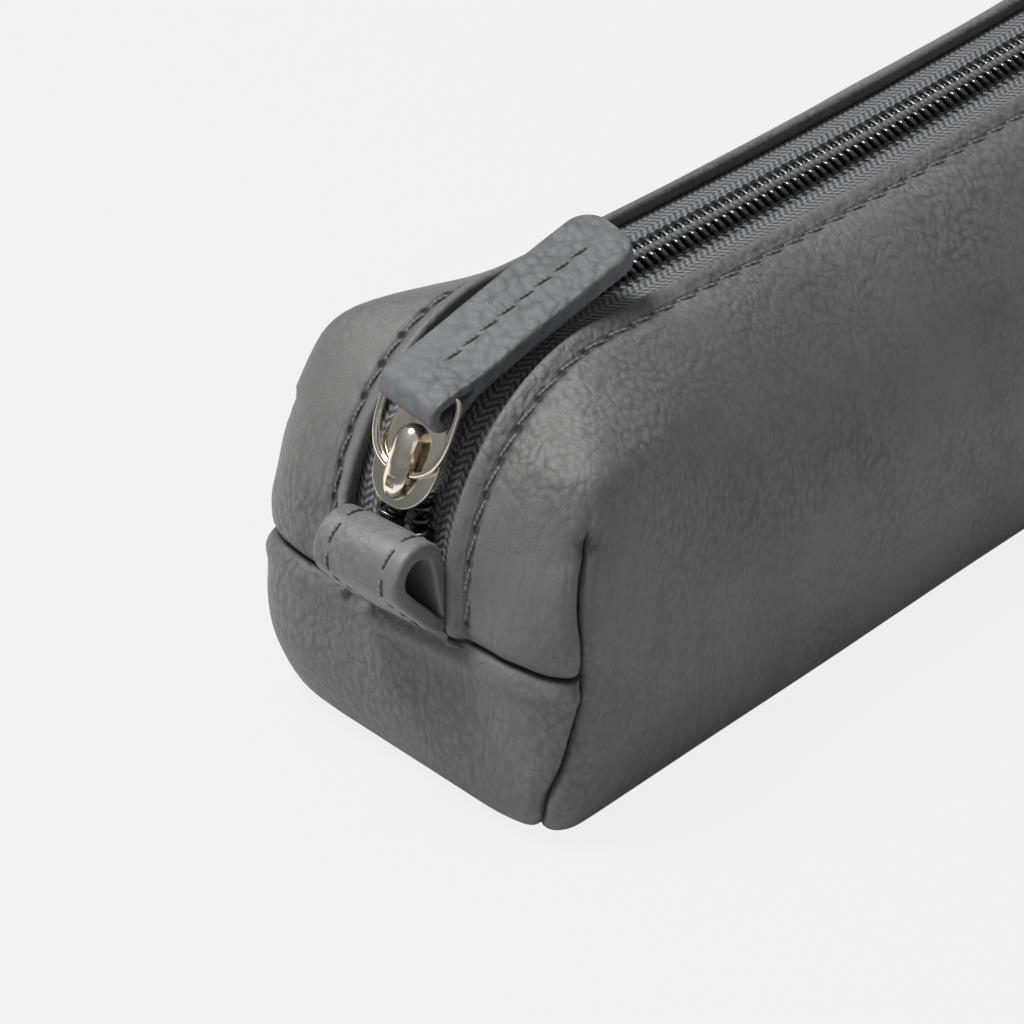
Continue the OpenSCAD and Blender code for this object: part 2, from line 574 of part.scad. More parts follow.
// Pull tab: one strip folded round the ring's bar, in a frame with X towards its tip
from_arc = [bar_point[0] + arc_x, bar_point[1] - arc_z];
tab_clear = tape_r + coil_h + run_gap + tab_t;
least_rise = atan2(from_arc[1], from_arc[0]) - 180 + asin(min(tab_clear / norm(from_arc), 1));
rise = max(tab_rise, least_rise);
eye_r = bar_r + 0.1;
fold_r = eye_r + tab_t;
bend_at = 4.2;
module on_tab() {
    translate([bar_point[0], 0, bar_point[1]]) rotate([0, -rise, 0]) children();
}
module tab_side() {
    difference() {
        drop_shape([0, 0], fold_r, [bend_at - tab_t + 0.9, 0], tab_t);
        drop_shape([0, 0], eye_r, [bend_at - 1.6, 0], 0.08);
    }
}
tip_r = 3;
module tab_plan(half, length, tip) {
    difference() {
        translate([0, -half]) square([length, 2 * half]);
        for (m = [-1, 1]) difference() {
            translate([length - tip, m * (half - tip / 2)]) square([2 * tip, tip + 0.001], center = true);
            translate([length - tip, m * (half - tip)]) circle(tip);
        }
    }
}
module pull_tab() {
    flat_len = tab_len - bend_at;
    color("#6b6f75") on_tab() {
        difference() {
            translate([0, tab_w / 2, 0]) rotate([90, 0, 0]) linear_extrude(tab_w) tab_side();
            translate([bend_at, -tab_w, -tab_t * 2]) cube([tab_t * 4, 2 * tab_w, tab_t * 4]);
        }
        translate([bend_at - 0.9, 0, -tab_t]) linear_extrude(2 * tab_t) intersection() {
            rotate(-tab_yaw) translate([-1, 0]) tab_plan(tab_w / 2, flat_len + 1.9, tip_r);
            translate([0, -tab_w * 2]) square([tab_len, tab_w * 4]);
        }
    }
}
// One row of stitches down the middle holds the two layers together
row_from = 4.2;
tab_margin = 4.2;
tab_stitch = stitch_pitch * 0.7;
module tab_stitches() {
    run = tab_len - tab_margin - row_from;
    count = floor(run / tab_stitch);
    color("#4a4d51") on_tab() for (f = [0, 1]) mirror([0, 0, f]) translate([bend_at - 0.9, 0, 0]) rotate(-tab_yaw)
        for (k = [0:count - 1])
            translate([row_from - bend_at + 0.9 + (k + 0.5) * run / count, 0, tab_t + thread_t * 0.3 + 0.03])
                cube([run / count * 0.72, thread_t, thread_t * 0.6], center = true);
}

leather_body();
lining();
zip_tape_left();
zip_tape_right();
zip_coil_left();
zip_coil_right();
bottom_stop();
top_stops();
rim_stitches_left();
rim_stitches_right();
end_loop();
loop_stitches();
slider_body();
slider_cap();
lock_spring();
pull_ring();
pull_tab();
tab_stitches();
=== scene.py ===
"""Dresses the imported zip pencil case: soft leather, coil zip, nickel slider, folded tab and end loop.

Shapes are worked out in millimetres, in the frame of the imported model, and made in metres.
"""

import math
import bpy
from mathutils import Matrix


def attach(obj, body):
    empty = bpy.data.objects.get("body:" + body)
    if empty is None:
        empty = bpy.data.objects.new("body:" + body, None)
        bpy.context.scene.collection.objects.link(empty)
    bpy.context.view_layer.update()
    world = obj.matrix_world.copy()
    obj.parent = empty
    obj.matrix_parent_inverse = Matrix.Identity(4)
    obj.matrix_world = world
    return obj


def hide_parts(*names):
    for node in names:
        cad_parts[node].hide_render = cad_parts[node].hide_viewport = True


bl_info = {
    "name": "Zip pencil case dresser",
    "version": (1, 0, 0),
    "blender": (4, 5, 0),
    "location": "View3D > Sidebar > Pencil case",
    "description": "Builds the leather, zip, slider, pull and loop of a zip pencil case",
    "category": "Object",
}

import bmesh
import bpy
import numpy as np
from bpy.props import FloatProperty, FloatVectorProperty, IntProperty, PointerProperty
from mathutils import Matrix, Vector

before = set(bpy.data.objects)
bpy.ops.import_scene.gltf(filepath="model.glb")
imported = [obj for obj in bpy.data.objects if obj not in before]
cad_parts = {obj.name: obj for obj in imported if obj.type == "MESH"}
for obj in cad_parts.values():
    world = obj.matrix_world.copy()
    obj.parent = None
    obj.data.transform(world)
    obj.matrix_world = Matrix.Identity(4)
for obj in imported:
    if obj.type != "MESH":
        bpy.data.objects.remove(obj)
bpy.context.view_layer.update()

MM = 0.001
SENSOR_MM = 36
PHOTO_PX = 1024


def linear(hex_colour):
    """An sRGB hex value as the linear colour that Blender's sockets take."""
    channels = [int(hex_colour[i : i + 2], 16) / 255 for i in (1, 3, 5)]
    return tuple(c / 12.92 if c <= 0.04045 else ((c + 0.055) / 1.055) ** 2.4 for c in channels)


# settings


def length(name, description, default, low, high):
    return FloatProperty(name=name, description=description, default=default, min=low, max=high)


def colour(name, description, hex_colour):
    return FloatVectorProperty(
        name=name, description=description, subtype="COLOR", size=3, min=0, max=1, default=linear(hex_colour)
    )


class CaseSizes(bpy.types.PropertyGroup):
    """Sizes of the leather body, in millimetres"""

    case_len: length("Length", "Length between the two flat ends of the zip", 200, 180, 230)
    case_w: length("Width", "Widest outside width", 50.8, 46, 58)
    case_h: length("Height", "Height of the stitch line at the shoulders", 53.4, 50, 58)
    shoulder_r: length("Shoulder radius", "Radius of the stitch line over each shoulder", 22.9, 20, 24)
    sag: length("Sag", "How far the top sags half way along", 2.2, 0.5, 3)
    seam_z: length("End seam height", "Height of the seam across each end", 23.3, 20, 25)
    end_bulge: length("End bulge", "How far the end panels bulge", 0.8, 0, 1.5)
    end_bow: length("End bow", "How far each end draws back to its corners", 0.7, 0.2, 2.5)
    side_bow: length("Side bow", "How much narrower each side is at the ends", 0.3, 0, 2)
    leather_t: length("Leather thickness", "Thickness of one layer of leather", 1.3, 1, 1.5)
    hem_t: length("Hem thickness", "Thickness of the turned hem", 2.15, 2, 2.3)
    rim_half: length("Half opening", "Half the opening between the hems", 7.8, 7.4, 8.4)
    hem_stitch: length("Hem width", "From the folded edge to the stitches", 2.65, 2.2, 3)
    apex_z: length("Corner seam height", "Where the corner seams run out, above the table", 41, 34, 44)


class ZipSizes(bpy.types.PropertyGroup):
    """Sizes of the tapes, the coil and the slider, in millimetres"""

    tape_t: length("Tape thickness", "Thickness of the woven tape", 0.5, 0.4, 0.6)
    tape_edge: length("Tape inner edge", "From the middle to the tape's edge", 1.15, 1, 1.4)
    tape_reach: length("Tape outer edge", "From the middle to the tape's outer edge", 10.9, 10.5, 11.2)
    coil_pitch: length("Coil pitch", "Spacing of the coil's turns", 1.5, 1.3, 1.8)
    coil_wire: length("Coil thread", "Thickness of the coil's thread", 0.68, 0.5, 0.72)
    coil_h: length("Coil height", "Height of the coil above the tape", 2.2, 2, 2.4)
    coil_reach: length("Coil half width", "From the middle to the coil's outside", 2.8, 2.6, 3)
    coil_head: length("Head reach", "How far each turn passes the middle", 0.35, 0.25, 0.4)
    slider_angle: length("Slider place", "Angle of the slider on the shoulder", 30, 29, 34)
    slider_len: length("Slider length", "Length of the plates", 11.5, 11, 12)
    slider_w: length("Slider width", "Width of the plates", 9.2, 8.9, 9.6)
    plate_t: length("Plate thickness", "Thickness of the upper plate", 0.75, 0.6, 0.9)
    under_t: length("Lower plate thickness", "Thickness of the lower plate", 1.1, 0.9, 1.3)
    cap_w: length("Cap width", "Width of the arched cap", 3, 2.6, 3.2)
    cap_h: length("Cap height", "Height of the cap over the plate", 2.1, 2, 2.4)
    cap_t: length("Cap thickness", "Thickness of the cap's sheet", 0.65, 0.5, 0.7)
    run_gap: length("Running gap", "Clearance round what slides", 0.2, 0.15, 0.25)


class PullSizes(bpy.types.PropertyGroup):
    """Sizes of the ring, the tab and the end loop, in millimetres"""

    ring_t: length("Ring thickness", "Thickness of the pull ring", 0.85, 0.7, 0.95)
    ring_w: length("Ring width", "Outside width of the pull ring", 11.4, 11, 12)
    ring_len: length("Ring length", "From the lower bar to the bar in the tab", 10.3, 10, 11)
    arm_w: length("Arm width", "Width of the ring's arms", 0.75, 0.6, 0.9)
    tab_w: length("Tab width", "Width of the pull tab", 9.4, 9, 10)
    tab_len: length("Tab length", "From the ring's bar to the tip", 31, 28, 36)
    tab_t: length("Tab layer", "Thickness of one layer of the tab", 1.4, 1.2, 1.5)
    tab_rise: length("Tab rise", "Angle that the tab rises at", 20, 15, 30)
    tab_yaw: length("Tab turn", "Angle that the tab lies turned to the near side", 8, 0, 10)
    tab_roll: length("Tab lean", "Angle that the tab leans over its near edge", 7, 0, 12)
    tab_slip: length("Tab slip", "How far the slack fold hangs down past the ring's bar", 1.3, 0, 2)
    loop_w: length("Loop width", "Width of the loop's strap", 12.9, 10, 14)
    loop_y: length("Loop place", "Middle of the strap across the case", -1.15, -2, 1)
    loop_t: length("Strap thickness", "Thickness of the folded strap", 2, 1.6, 2.3)
    loop_r: length("Loop radius", "Outside radius of the loop", 4.2, 3.8, 4.5)
    stitch_pitch: length("Stitch pitch", "Spacing of the stitches", 4, 3, 5)
    thread_t: length("Thread", "Thickness of the sewing thread", 0.5, 0.3, 0.7)


class Finishes(bpy.types.PropertyGroup):
    """Colours of the case's materials"""

    leather: colour("Leather", "Grey aniline leather", "#585858")
    loop_leather: colour("Loop leather", "Leather of the end loop", "#5d5d5e")
    tab_leather: colour("Tab leather", "Leather of the pull tab", "#54565b")
    tape: colour("Zip tape", "Woven zip tape", "#5e5f61")
    coil: colour("Coil", "Nylon coil", "#141517")
    thread: colour("Thread", "Sewing thread", "#4c4d4e")
    nickel: colour("Nickel", "Plated zinc of the slider", "#d9d2c6")
    lining: colour("Lining", "Cloth lining", "#2b2c2f")
    floor: colour("Floor", "Floor and backdrop", "#f3f3f3")


def sizes(name):
    return getattr(bpy.context.scene, "pencil_case_" + name)


# shape of the case


def smooth_table(pairs):
    """A lookup through the pairs that has no corners and overshoots nowhere."""
    x, y = np.array(pairs, float).T
    step, rise = np.diff(x), np.diff(y) / np.diff(x)
    slope = np.zeros(len(x))
    same = rise[1:] * rise[:-1] > 0
    inner = 2 * rise[1:] * rise[:-1] / np.where(same, rise[1:] + rise[:-1], 1)
    slope[1:-1] = np.where(same, inner, 0)
    slope[0], slope[-1] = rise[0], rise[-1]

    def look(at):
        at = np.clip(np.asarray(at, float), x[0], x[-1])
        k = np.clip(np.searchsorted(x, at, side="right") - 1, 0, len(x) - 2)
        t = (at - x[k]) / step[k]
        return (
            (2 * t**3 - 3 * t**2 + 1) * y[k]
            + (t**3 - 2 * t**2 + t) * step[k] * slope[k]
            + (3 * t**2 - 2 * t**3) * y[k + 1]
            + (t**3 - t**2) * step[k] * slope[k + 1]
        )

    return look


# Along the height, from foot to stitch line: the side's half width as a share
SIDE_SHAPE = smooth_table(
    [
        (0, 0.73), (0.015, 0.84), (0.04, 0.92), (0.117, 0.967), (0.27, 1), (0.37, 1), (0.47, 0.987),
        (0.605, 0.906), (0.732, 0.773), (0.83, 0.605), (0.914, 0.405), (0.967, 0.237), (0.988, 0.124),
        (1, 0)
    ]
)
# How far the foot of the end turns in, below the end seam
END_FOOT = smooth_table([(0, 4.1), (0.04, 2.6), (0.1, 1.2), (0.26, 0.35), (0.5, 0), (1, 0)])
# Side shapes beside the ends, near and far, where the leather folds into square ears
EAR_NEAR = smooth_table(
    [
        (0, 0.73), (0.015, 0.84), (0.04, 0.92), (0.117, 0.967), (0.27, 1), (0.45, 1), (0.6, 0.98),
        (0.72, 0.95), (0.8, 0.91), (0.86, 0.85), (0.908, 0.68), (0.96, 0.34), (0.985, 0.16), (1, 0)
    ]
)
EAR_FAR = smooth_table(
    [
        (0, 0.73), (0.015, 0.84), (0.04, 0.92), (0.117, 0.967), (0.27, 1), (0.45, 0.99), (0.6, 0.96),
        (0.72, 0.91), (0.8, 0.88), (0.87, 0.83), (0.912, 0.75), (0.945, 0.6), (0.97, 0.38), (0.988, 0.2),
        (1, 0)
    ]
)
# How far the far ear leans back
FAR_BOW = smooth_table(
    [(0, 0.2), (0.35, 0.8), (0.5, 1.8), (0.7, 2.6), (0.82, 2.7), (0.92, 1.5), (0.97, 0.4), (1, 0)]
)
# Length of the upright corners' rounding, and how square it is
CORNER_LEN = smooth_table([(0, 5.2), (0.1, 7.5), (0.7, 7.5), (0.9, 7), (0.97, 7.5), (1, 9)])
CORNER_SQUARE = smooth_table([(0, 3), (0.1, 4.4), (0.5, 4.8), (0.9, 4.8), (0.97, 4), (1, 2.6)])
# Where the corner seam runs in that rounding, in degrees, against the height in millimetres
SEAM_PLACE = smooth_table(
    [(0, 42), (5, 42), (10, 54), (16, 70), (20, 76), (23, 74), (36, 71), (42, 66), (54, 62)]
)
# Upright gap in the skin that the end panel's folded edge fills, and how far the tape lies under
# the stitch line and how steeply it falls away under the hem
END_BAND = 1.2
TAPE_DROP = 1.03
TAPE_SLOPE = math.radians(30)
# How much lower the far stitch line lies, and the angle up the shoulder of the near ear's fold
FAR_FALL = 1.7
EAR_FOLD = 42
# Distances given to points that lie away from the hem, along a long side, and in an end panel
OFF_HEM = 50.0
OFF_SEAM = 99.0
PANEL_REACH = -20.0


class Shape:
    """The case's surfaces and the zip's path, worked out from the sizes."""

    def __init__(self):
        c, z = sizes("body"), sizes("zip")
        self.c, self.z = c, z
        self.end_x = c.case_len / 2
        self.arc_x = self.end_x - c.shoulder_r
        self.arc_z = c.case_h - c.shoulder_r
        self.stitch_y = c.rim_half + c.hem_stitch
        self.half_w = c.case_w / 2
        self.low_top = c.seam_z - END_BAND
        self.sag_angle = 2 * math.atan(c.sag / self.arc_x)
        self.apart = self.arc_x / math.sin(self.sag_angle)
        self.sag_z = self.arc_z + self.apart * math.cos(self.sag_angle)
        self.flat_x = self.arc_x - c.shoulder_r * math.sin(self.sag_angle)
        self.tape_r = c.shoulder_r - TAPE_DROP
        self.zip_start = c.seam_z + 2.5
        self.rise_len = self.arc_z - self.zip_start
        self.bend_len = self.tape_r * (math.pi / 2 + self.sag_angle)
        self.hollow_r = self.apart - self.tape_r
        self.half_len = self.rise_len + self.bend_len + self.hollow_r * self.sag_angle
        self.slider_l = self.rise_len + self.tape_r * math.radians(z.slider_angle)
        self.plate_low = z.coil_h + z.run_gap
        self.plate_high = self.plate_low + z.plate_t

    def side_half(self, h):
        return self.stitch_y + (self.half_w - self.stitch_y) * SIDE_SHAPE(h / self.c.case_h)

    def end_half(self, h):
        h = np.asarray(h, float)
        r = self.c.shoulder_r
        back = r - np.sqrt(np.maximum(r * r - (h - self.arc_z) ** 2, 0))
        share = np.minimum(h / self.c.seam_z, 1)
        low = self.end_x - END_FOOT(share) + self.c.end_bulge * np.sin(np.pi * share)
        return np.where(h > self.arc_z, self.end_x - back, low)

    def top_z(self, x):
        x = np.abs(x)
        r = self.c.shoulder_r
        arc = self.arc_z + np.sqrt(np.maximum(r * r - (self.arc_x - x) ** 2, 0))
        hollow = self.sag_z - np.sqrt((self.apart - r) ** 2 - np.minimum(x, self.flat_x) ** 2)
        return np.where(x >= self.arc_x, self.c.case_h, np.where(x > self.flat_x, arc, hollow))

    def path_normal(self, x, h):
        """Outward direction of the zip's path beside a point of the stitch line, as (x, z)."""
        if h < self.arc_z:
            return np.array([math.copysign(1, x), 0.0])
        if abs(x) > self.flat_x:
            n = np.array([x - math.copysign(self.arc_x, x), h - self.arc_z])
        else:
            n = np.array([-x, self.sag_z - h])
        return n / np.linalg.norm(n)

    def station(self, l):
        """(x, z, heading) of the zip's path at a length from its lower end."""
        far = l > self.half_len
        if far:
            l = 2 * self.half_len - l
        if l <= self.rise_len:
            x, h, a = -self.arc_x - self.tape_r, self.zip_start + l, math.pi / 2
        elif l <= self.rise_len + self.bend_len:
            t = (l - self.rise_len) / self.tape_r
            x = -self.arc_x - self.tape_r * math.cos(t)
            h, a = self.arc_z + self.tape_r * math.sin(t), math.pi / 2 - t
        else:
            t = (self.half_len - l) / self.hollow_r
            x, h, a = -self.hollow_r * math.sin(t), self.sag_z - self.hollow_r * math.cos(t), -t
        return (-x, h, -a) if far else (x, h, a)

    def at(self, l, y=0.0, lift=0.0):
        """A point beside the path, lifted off the tape, with the way along and the way out."""
        x, h, a = self.station(l)
        along = np.array([math.cos(a), 0, math.sin(a)])
        out = np.array([-math.sin(a), 0, math.cos(a)])
        return np.array([x, y, h]) + out * lift, along, out

    def coil_shift(self, l):
        """How far the coil's halves stand parted, in the slider and below it."""
        parted = 0.7 + self.z.run_gap / 2 + self.z.coil_head
        t = min(max((1.6 - (l - self.slider_l)) / 4.4, 0), 1)
        return parted * t


# meshes


def new_object(name, points_mm, faces, material=None, smooth=True):
    """A mesh object from points in millimetres."""
    mesh = bpy.data.meshes.new(name)
    mesh.from_pydata((np.asarray(points_mm, float) * MM).tolist(), [], faces)
    mesh.validate()
    obj = bpy.data.objects.new(name, mesh)
    bpy.context.scene.collection.objects.link(obj)
    if material is not None:
        mesh.materials.append(material)
    if smooth:
        mesh.shade_smooth()
    return obj


def outward(obj):
    """Turns the faces of a closed mesh outwards, after its doubles are merged."""
    bm = bmesh.new()
    bm.from_mesh(obj.data)
    bmesh.ops.remove_doubles(bm, verts=bm.verts, dist=1e-7)
    bmesh.ops.recalc_face_normals(bm, faces=bm.faces)
    bm.to_mesh(obj.data)
    bm.free()


def add_uv(obj, uv):
    """Gives the mesh a UV map in metres from a pair for each of its points."""
    layer = obj.data.uv_layers.new(name="UVMap")
    loops = np.zeros(len(obj.data.loops), int)
    obj.data.loops.foreach_get("vertex_index", loops)
    layer.data.foreach_set("uv", (np.asarray(uv, float)[loops] * MM).astype(np.float32).ravel())


def add_vectors(obj, name, values):
    attribute = obj.data.attributes.new(name, "FLOAT_VECTOR", "POINT")
    attribute.data.foreach_set("vector", np.asarray(values, np.float32).ravel())


def finish_modifiers(obj, *steps):
    """Adds modifiers, each as (type, settings), and applies them."""
    for kind, settings in steps:
        modifier = obj.modifiers.new(kind.title(), kind)
        for key, value in settings.items():
            setattr(modifier, key, value)
    bpy.context.view_layer.update()
    done = bpy.data.meshes.new_from_object(obj.evaluated_get(bpy.context.evaluated_depsgraph_get()))
    obj.modifiers.clear()
    obj.data = done
    return obj


def bevelled(obj, width, segments=3, angle=30):
    return finish_modifiers(
        obj,
        ("BEVEL", {"width": width * MM, "segments": segments, "limit_method": "ANGLE",
                   "angle_limit": math.radians(angle), "harden_normals": False}),
    )


def tube_rings(centres, normals, radius_a, radius_b, sides):
    """Rings of an oval tube along the centres; normals give the way of its first radius."""
    centres = np.asarray(centres, float)
    tangent = np.gradient(centres, axis=0)
    tangent /= np.linalg.norm(tangent, axis=1)[:, None]
    normals = np.asarray(normals, float)
    normals = normals - (normals * tangent).sum(1)[:, None] * tangent
    normals /= np.linalg.norm(normals, axis=1)[:, None]
    side = np.cross(tangent, normals)
    turn = np.arange(sides) / sides * 2 * np.pi
    a = np.broadcast_to(np.asarray(radius_a, float), (len(centres),))
    b = np.broadcast_to(np.asarray(radius_b, float), (len(centres),))
    return (
        centres[:, None]
        + a[:, None, None] * np.cos(turn)[None, :, None] * normals[:, None]
        + b[:, None, None] * np.sin(turn)[None, :, None] * side[:, None]
    )


def skin_rings(rings, closed=False, capped=True):
    """Points and faces of a skin over rings of equal size."""
    count, sides = rings.shape[:2]
    faces = []
    for j in range(count if closed else count - 1):
        k = (j + 1) % count
        for i in range(sides):
            n = (i + 1) % sides
            faces.append((j * sides + i, j * sides + n, k * sides + n, k * sides + i))
    if capped and not closed:
        faces.append(tuple(range(sides - 1, -1, -1)))
        faces.append(tuple((count - 1) * sides + i for i in range(sides)))
    return rings.reshape(-1, 3), faces


def prism(outline, low, high, holes=()):
    """A flat outline, with holes, as a solid between two heights, in its own frame."""
    bm = bmesh.new()
    edges = []
    for ring in (outline, *holes):
        points = [bm.verts.new((p[0], p[1], low)) for p in ring]
        edges += [bm.edges.new((points[i], points[(i + 1) % len(points)])) for i in range(len(points))]
    bmesh.ops.triangle_fill(bm, use_beauty=True, use_dissolve=True, edges=edges)
    made = bmesh.ops.extrude_face_region(bm, geom=bm.faces[:])
    bmesh.ops.translate(
        bm, vec=(0, 0, high - low), verts=[g for g in made["geom"] if isinstance(g, bmesh.types.BMVert)]
    )
    bmesh.ops.recalc_face_normals(bm, faces=bm.faces)
    bm.verts.index_update()
    points = np.array([v.co[:] for v in bm.verts])
    faces = [tuple(v.index for v in f.verts) for f in bm.faces]
    bm.free()
    return points, faces


def placed(points, origin, x_way, y_way, z_way):
    """Points of a local frame in the frame of the case."""
    return np.asarray(points) @ np.array([x_way, y_way, z_way]) + np.asarray(origin)


# materials


def add_node(tree, kind, inputs=None, links=(), **settings):
    """Adds a node, with its settings, its sockets' values and its links from (socket, input)."""
    node = tree.nodes.new(kind)
    for key, value in settings.items():
        setattr(node, key, value)
    for key, value in (inputs or {}).items():
        node.inputs[key].default_value = value
    for source, target in links:
        tree.links.new(source, node.inputs[target])
    return node


def new_material(name, **shader):
    """A material of that name with a Principled shader, and its tree."""
    material = bpy.data.materials.new(name)
    material.use_nodes = True
    tree = material.node_tree
    tree.nodes.clear()
    bsdf = add_node(tree, "ShaderNodeBsdfPrincipled", shader)
    add_node(tree, "ShaderNodeOutputMaterial", links=[(bsdf.outputs[0], "Surface")])
    return material, tree, bsdf


def ramp(tree, source, stops):
    node = add_node(tree, "ShaderNodeValToRGB", links=[(source, "Fac")])
    elements = node.color_ramp.elements
    while len(elements) < len(stops):
        elements.new(0.5)
    for element, (place, value) in zip(elements, stops):
        element.position = place
        element.color = (*value, 1) if isinstance(value, tuple) else (value, value, value, 1)
    return node.outputs["Color"]


def calc(tree, operation, a, b=None, c=None, clamp=False):
    """A Math node on sockets or numbers."""
    node = add_node(tree, "ShaderNodeMath", operation=operation, use_clamp=clamp)
    for index, value in enumerate((a, b, c)):
        if value is None:
            continue
        if isinstance(value, (int, float)):
            node.inputs[index].default_value = value
        else:
            tree.links.new(value, node.inputs[index])
    return node.outputs[0]


def blend_colours(tree, factor, a, b, mode="MIX"):
    node = add_node(tree, "ShaderNodeMix", data_type="RGBA", blend_type=mode)
    for socket, value in ((node.inputs[0], factor), (node.inputs[6], a), (node.inputs[7], b)):
        if isinstance(value, tuple):
            socket.default_value = (*value[:3], 1)
        elif isinstance(value, (int, float)):
            socket.default_value = value
        else:
            tree.links.new(value, socket)
    return node.outputs[2]


def bump(tree, height, distance_mm, strength=1.0, base=None):
    links = [(height, "Height")] + ([(base, "Normal")] if base is not None else [])
    return add_node(
        tree, "ShaderNodeBump", {"Strength": strength, "Distance": distance_mm * MM}, links
    ).outputs["Normal"]


def object_space(tree):
    return add_node(tree, "ShaderNodeTexCoord").outputs["Object"]


def noise(tree, where, size_mm, detail=3.0, rough=0.5, distortion=0.0):
    """Noise whose patches are about that many millimetres across."""
    node = add_node(
        tree, "ShaderNodeTexNoise",
        {"Scale": 1 / (size_mm * MM), "Detail": detail, "Roughness": rough, "Distortion": distortion},
        [(where, "Vector")],
    )
    return node.outputs["Fac"]


def grey(value):
    return (value, value, value)


def leather_material(name, colour_value, pebble_mm=0.95, gloss=0.5, relief=1.0, stitched=False):
    """Aniline dyed cow leather, milled soft: a fine pebbled grain whose valleys run together into
    creases where it flexes, with painted shade that darkens the valleys and creases, and a low waxy sheen."""
    material, tree, bsdf = new_material(
        name, **{"Specular IOR Level": 0.38, "Sheen Weight": 0.06, "Sheen Roughness": 0.5}
    )
    where = object_space(tree)
    # Grain: rounded pebbles in gently wandering rows
    wander = add_node(
        tree, "ShaderNodeTexNoise", {"Scale": 1 / (5.0 * MM), "Detail": 1.5}, [(where, "Vector")]
    ).outputs["Color"]
    shifted = add_node(
        tree, "ShaderNodeVectorMath", {1: (0.0022, 0.0022, 0.0022)}, [(wander, 0), (where, 2)],
        operation="MULTIPLY_ADD"
    ).outputs[0]

    def cells(size_mm, stretch=(1, 1, 1), turn=0, **kind):
        at = add_node(
            tree, "ShaderNodeMapping", {"Rotation": (0, math.radians(turn), 0), "Scale": stretch},
            [(shifted, "Vector")]
        ).outputs[0]
        settings = {"Scale": 1 / (size_mm * MM), "Randomness": 1.0}
        if kind["feature"] == "SMOOTH_F1":
            settings["Smoothness"] = 0.35
        return add_node(tree, "ShaderNodeTexVoronoi", settings, [(at, "Vector")], **kind).outputs["Distance"]

    pebble = cells(pebble_mm, (1.1, 1, 0.8), feature="SMOOTH_F1")
    dome = calc(tree, "SUBTRACT", 1.0, calc(tree, "POWER", pebble, 1.5))
    pores = noise(tree, where, 0.16, 2.0, 0.7)
    # The grain stands out in patches, and long upright wrinkles cross some of them
    patches = ramp(tree, noise(tree, where, 26, 2.0), [(0.36, 0.12), (0.58, 1.0)])
    folds = ramp(tree, noise(tree, where, 34, 2.0, 0.5, 0.3), [(0.44, 0.0), (0.6, 1.0)])
    wrinkle = ramp(
        tree, cells(pebble_mm * 2.4, (1.3, 1, 0.3), 12, feature="DISTANCE_TO_EDGE"),
        [(0.0, 1.0), (0.2, 0.0)]
    )
    wrinkle = calc(tree, "MULTIPLY", wrinkle, folds)
    valley = calc(tree, "MULTIPLY", ramp(tree, pebble, [(0.36, 0.0), (0.7, 1.0)]), patches)
    crease_shade = calc(tree, "MAXIMUM", valley, calc(tree, "MULTIPLY", wrinkle, 0.6))
    height = calc(tree, "MULTIPLY", dome, patches)
    height = calc(tree, "ADD", height, calc(tree, "MULTIPLY", pores, 0.3))
    height = calc(tree, "SUBTRACT", height, calc(tree, "MULTIPLY", wrinkle, 0.5))
    normal = bump(tree, height, 0.2 * relief, 0.9)
    # Colour: slow clouding, a fine speckle of pores, and painted shade in the grain's valleys and creases
    clouds = noise(tree, where, 18, 4.0, 0.6)
    pale, dark = tuple(c * 1.12 for c in colour_value), tuple(c * 0.9 for c in colour_value)
    base = blend_colours(tree, ramp(tree, clouds, [(0.32, 0.0), (0.68, 1.0)]), dark, pale)
    base = blend_colours(
        tree, calc(tree, "MULTIPLY", ramp(tree, pores, [(0.3, 1.0), (0.62, 0.0)]), 0.42), base, grey(0.02)
    )
    # Painted shade: the grain's valleys and creases are darkened towards near black
    base = blend_colours(tree, calc(tree, "MULTIPLY", crease_shade, 0.36), base, grey(0.012))
    rough = calc(tree, "ADD", gloss, calc(tree, "MULTIPLY", noise(tree, where, 3.0, 3.0), 0.14))
    if stitched:
        base, normal, rough = stitch_dimples_and_shade(tree, base, normal, rough)
    tree.links.new(base, bsdf.inputs["Base Color"])
    tree.links.new(rough, bsdf.inputs["Roughness"])
    tree.links.new(normal, bsdf.inputs["Normal"])
    return material


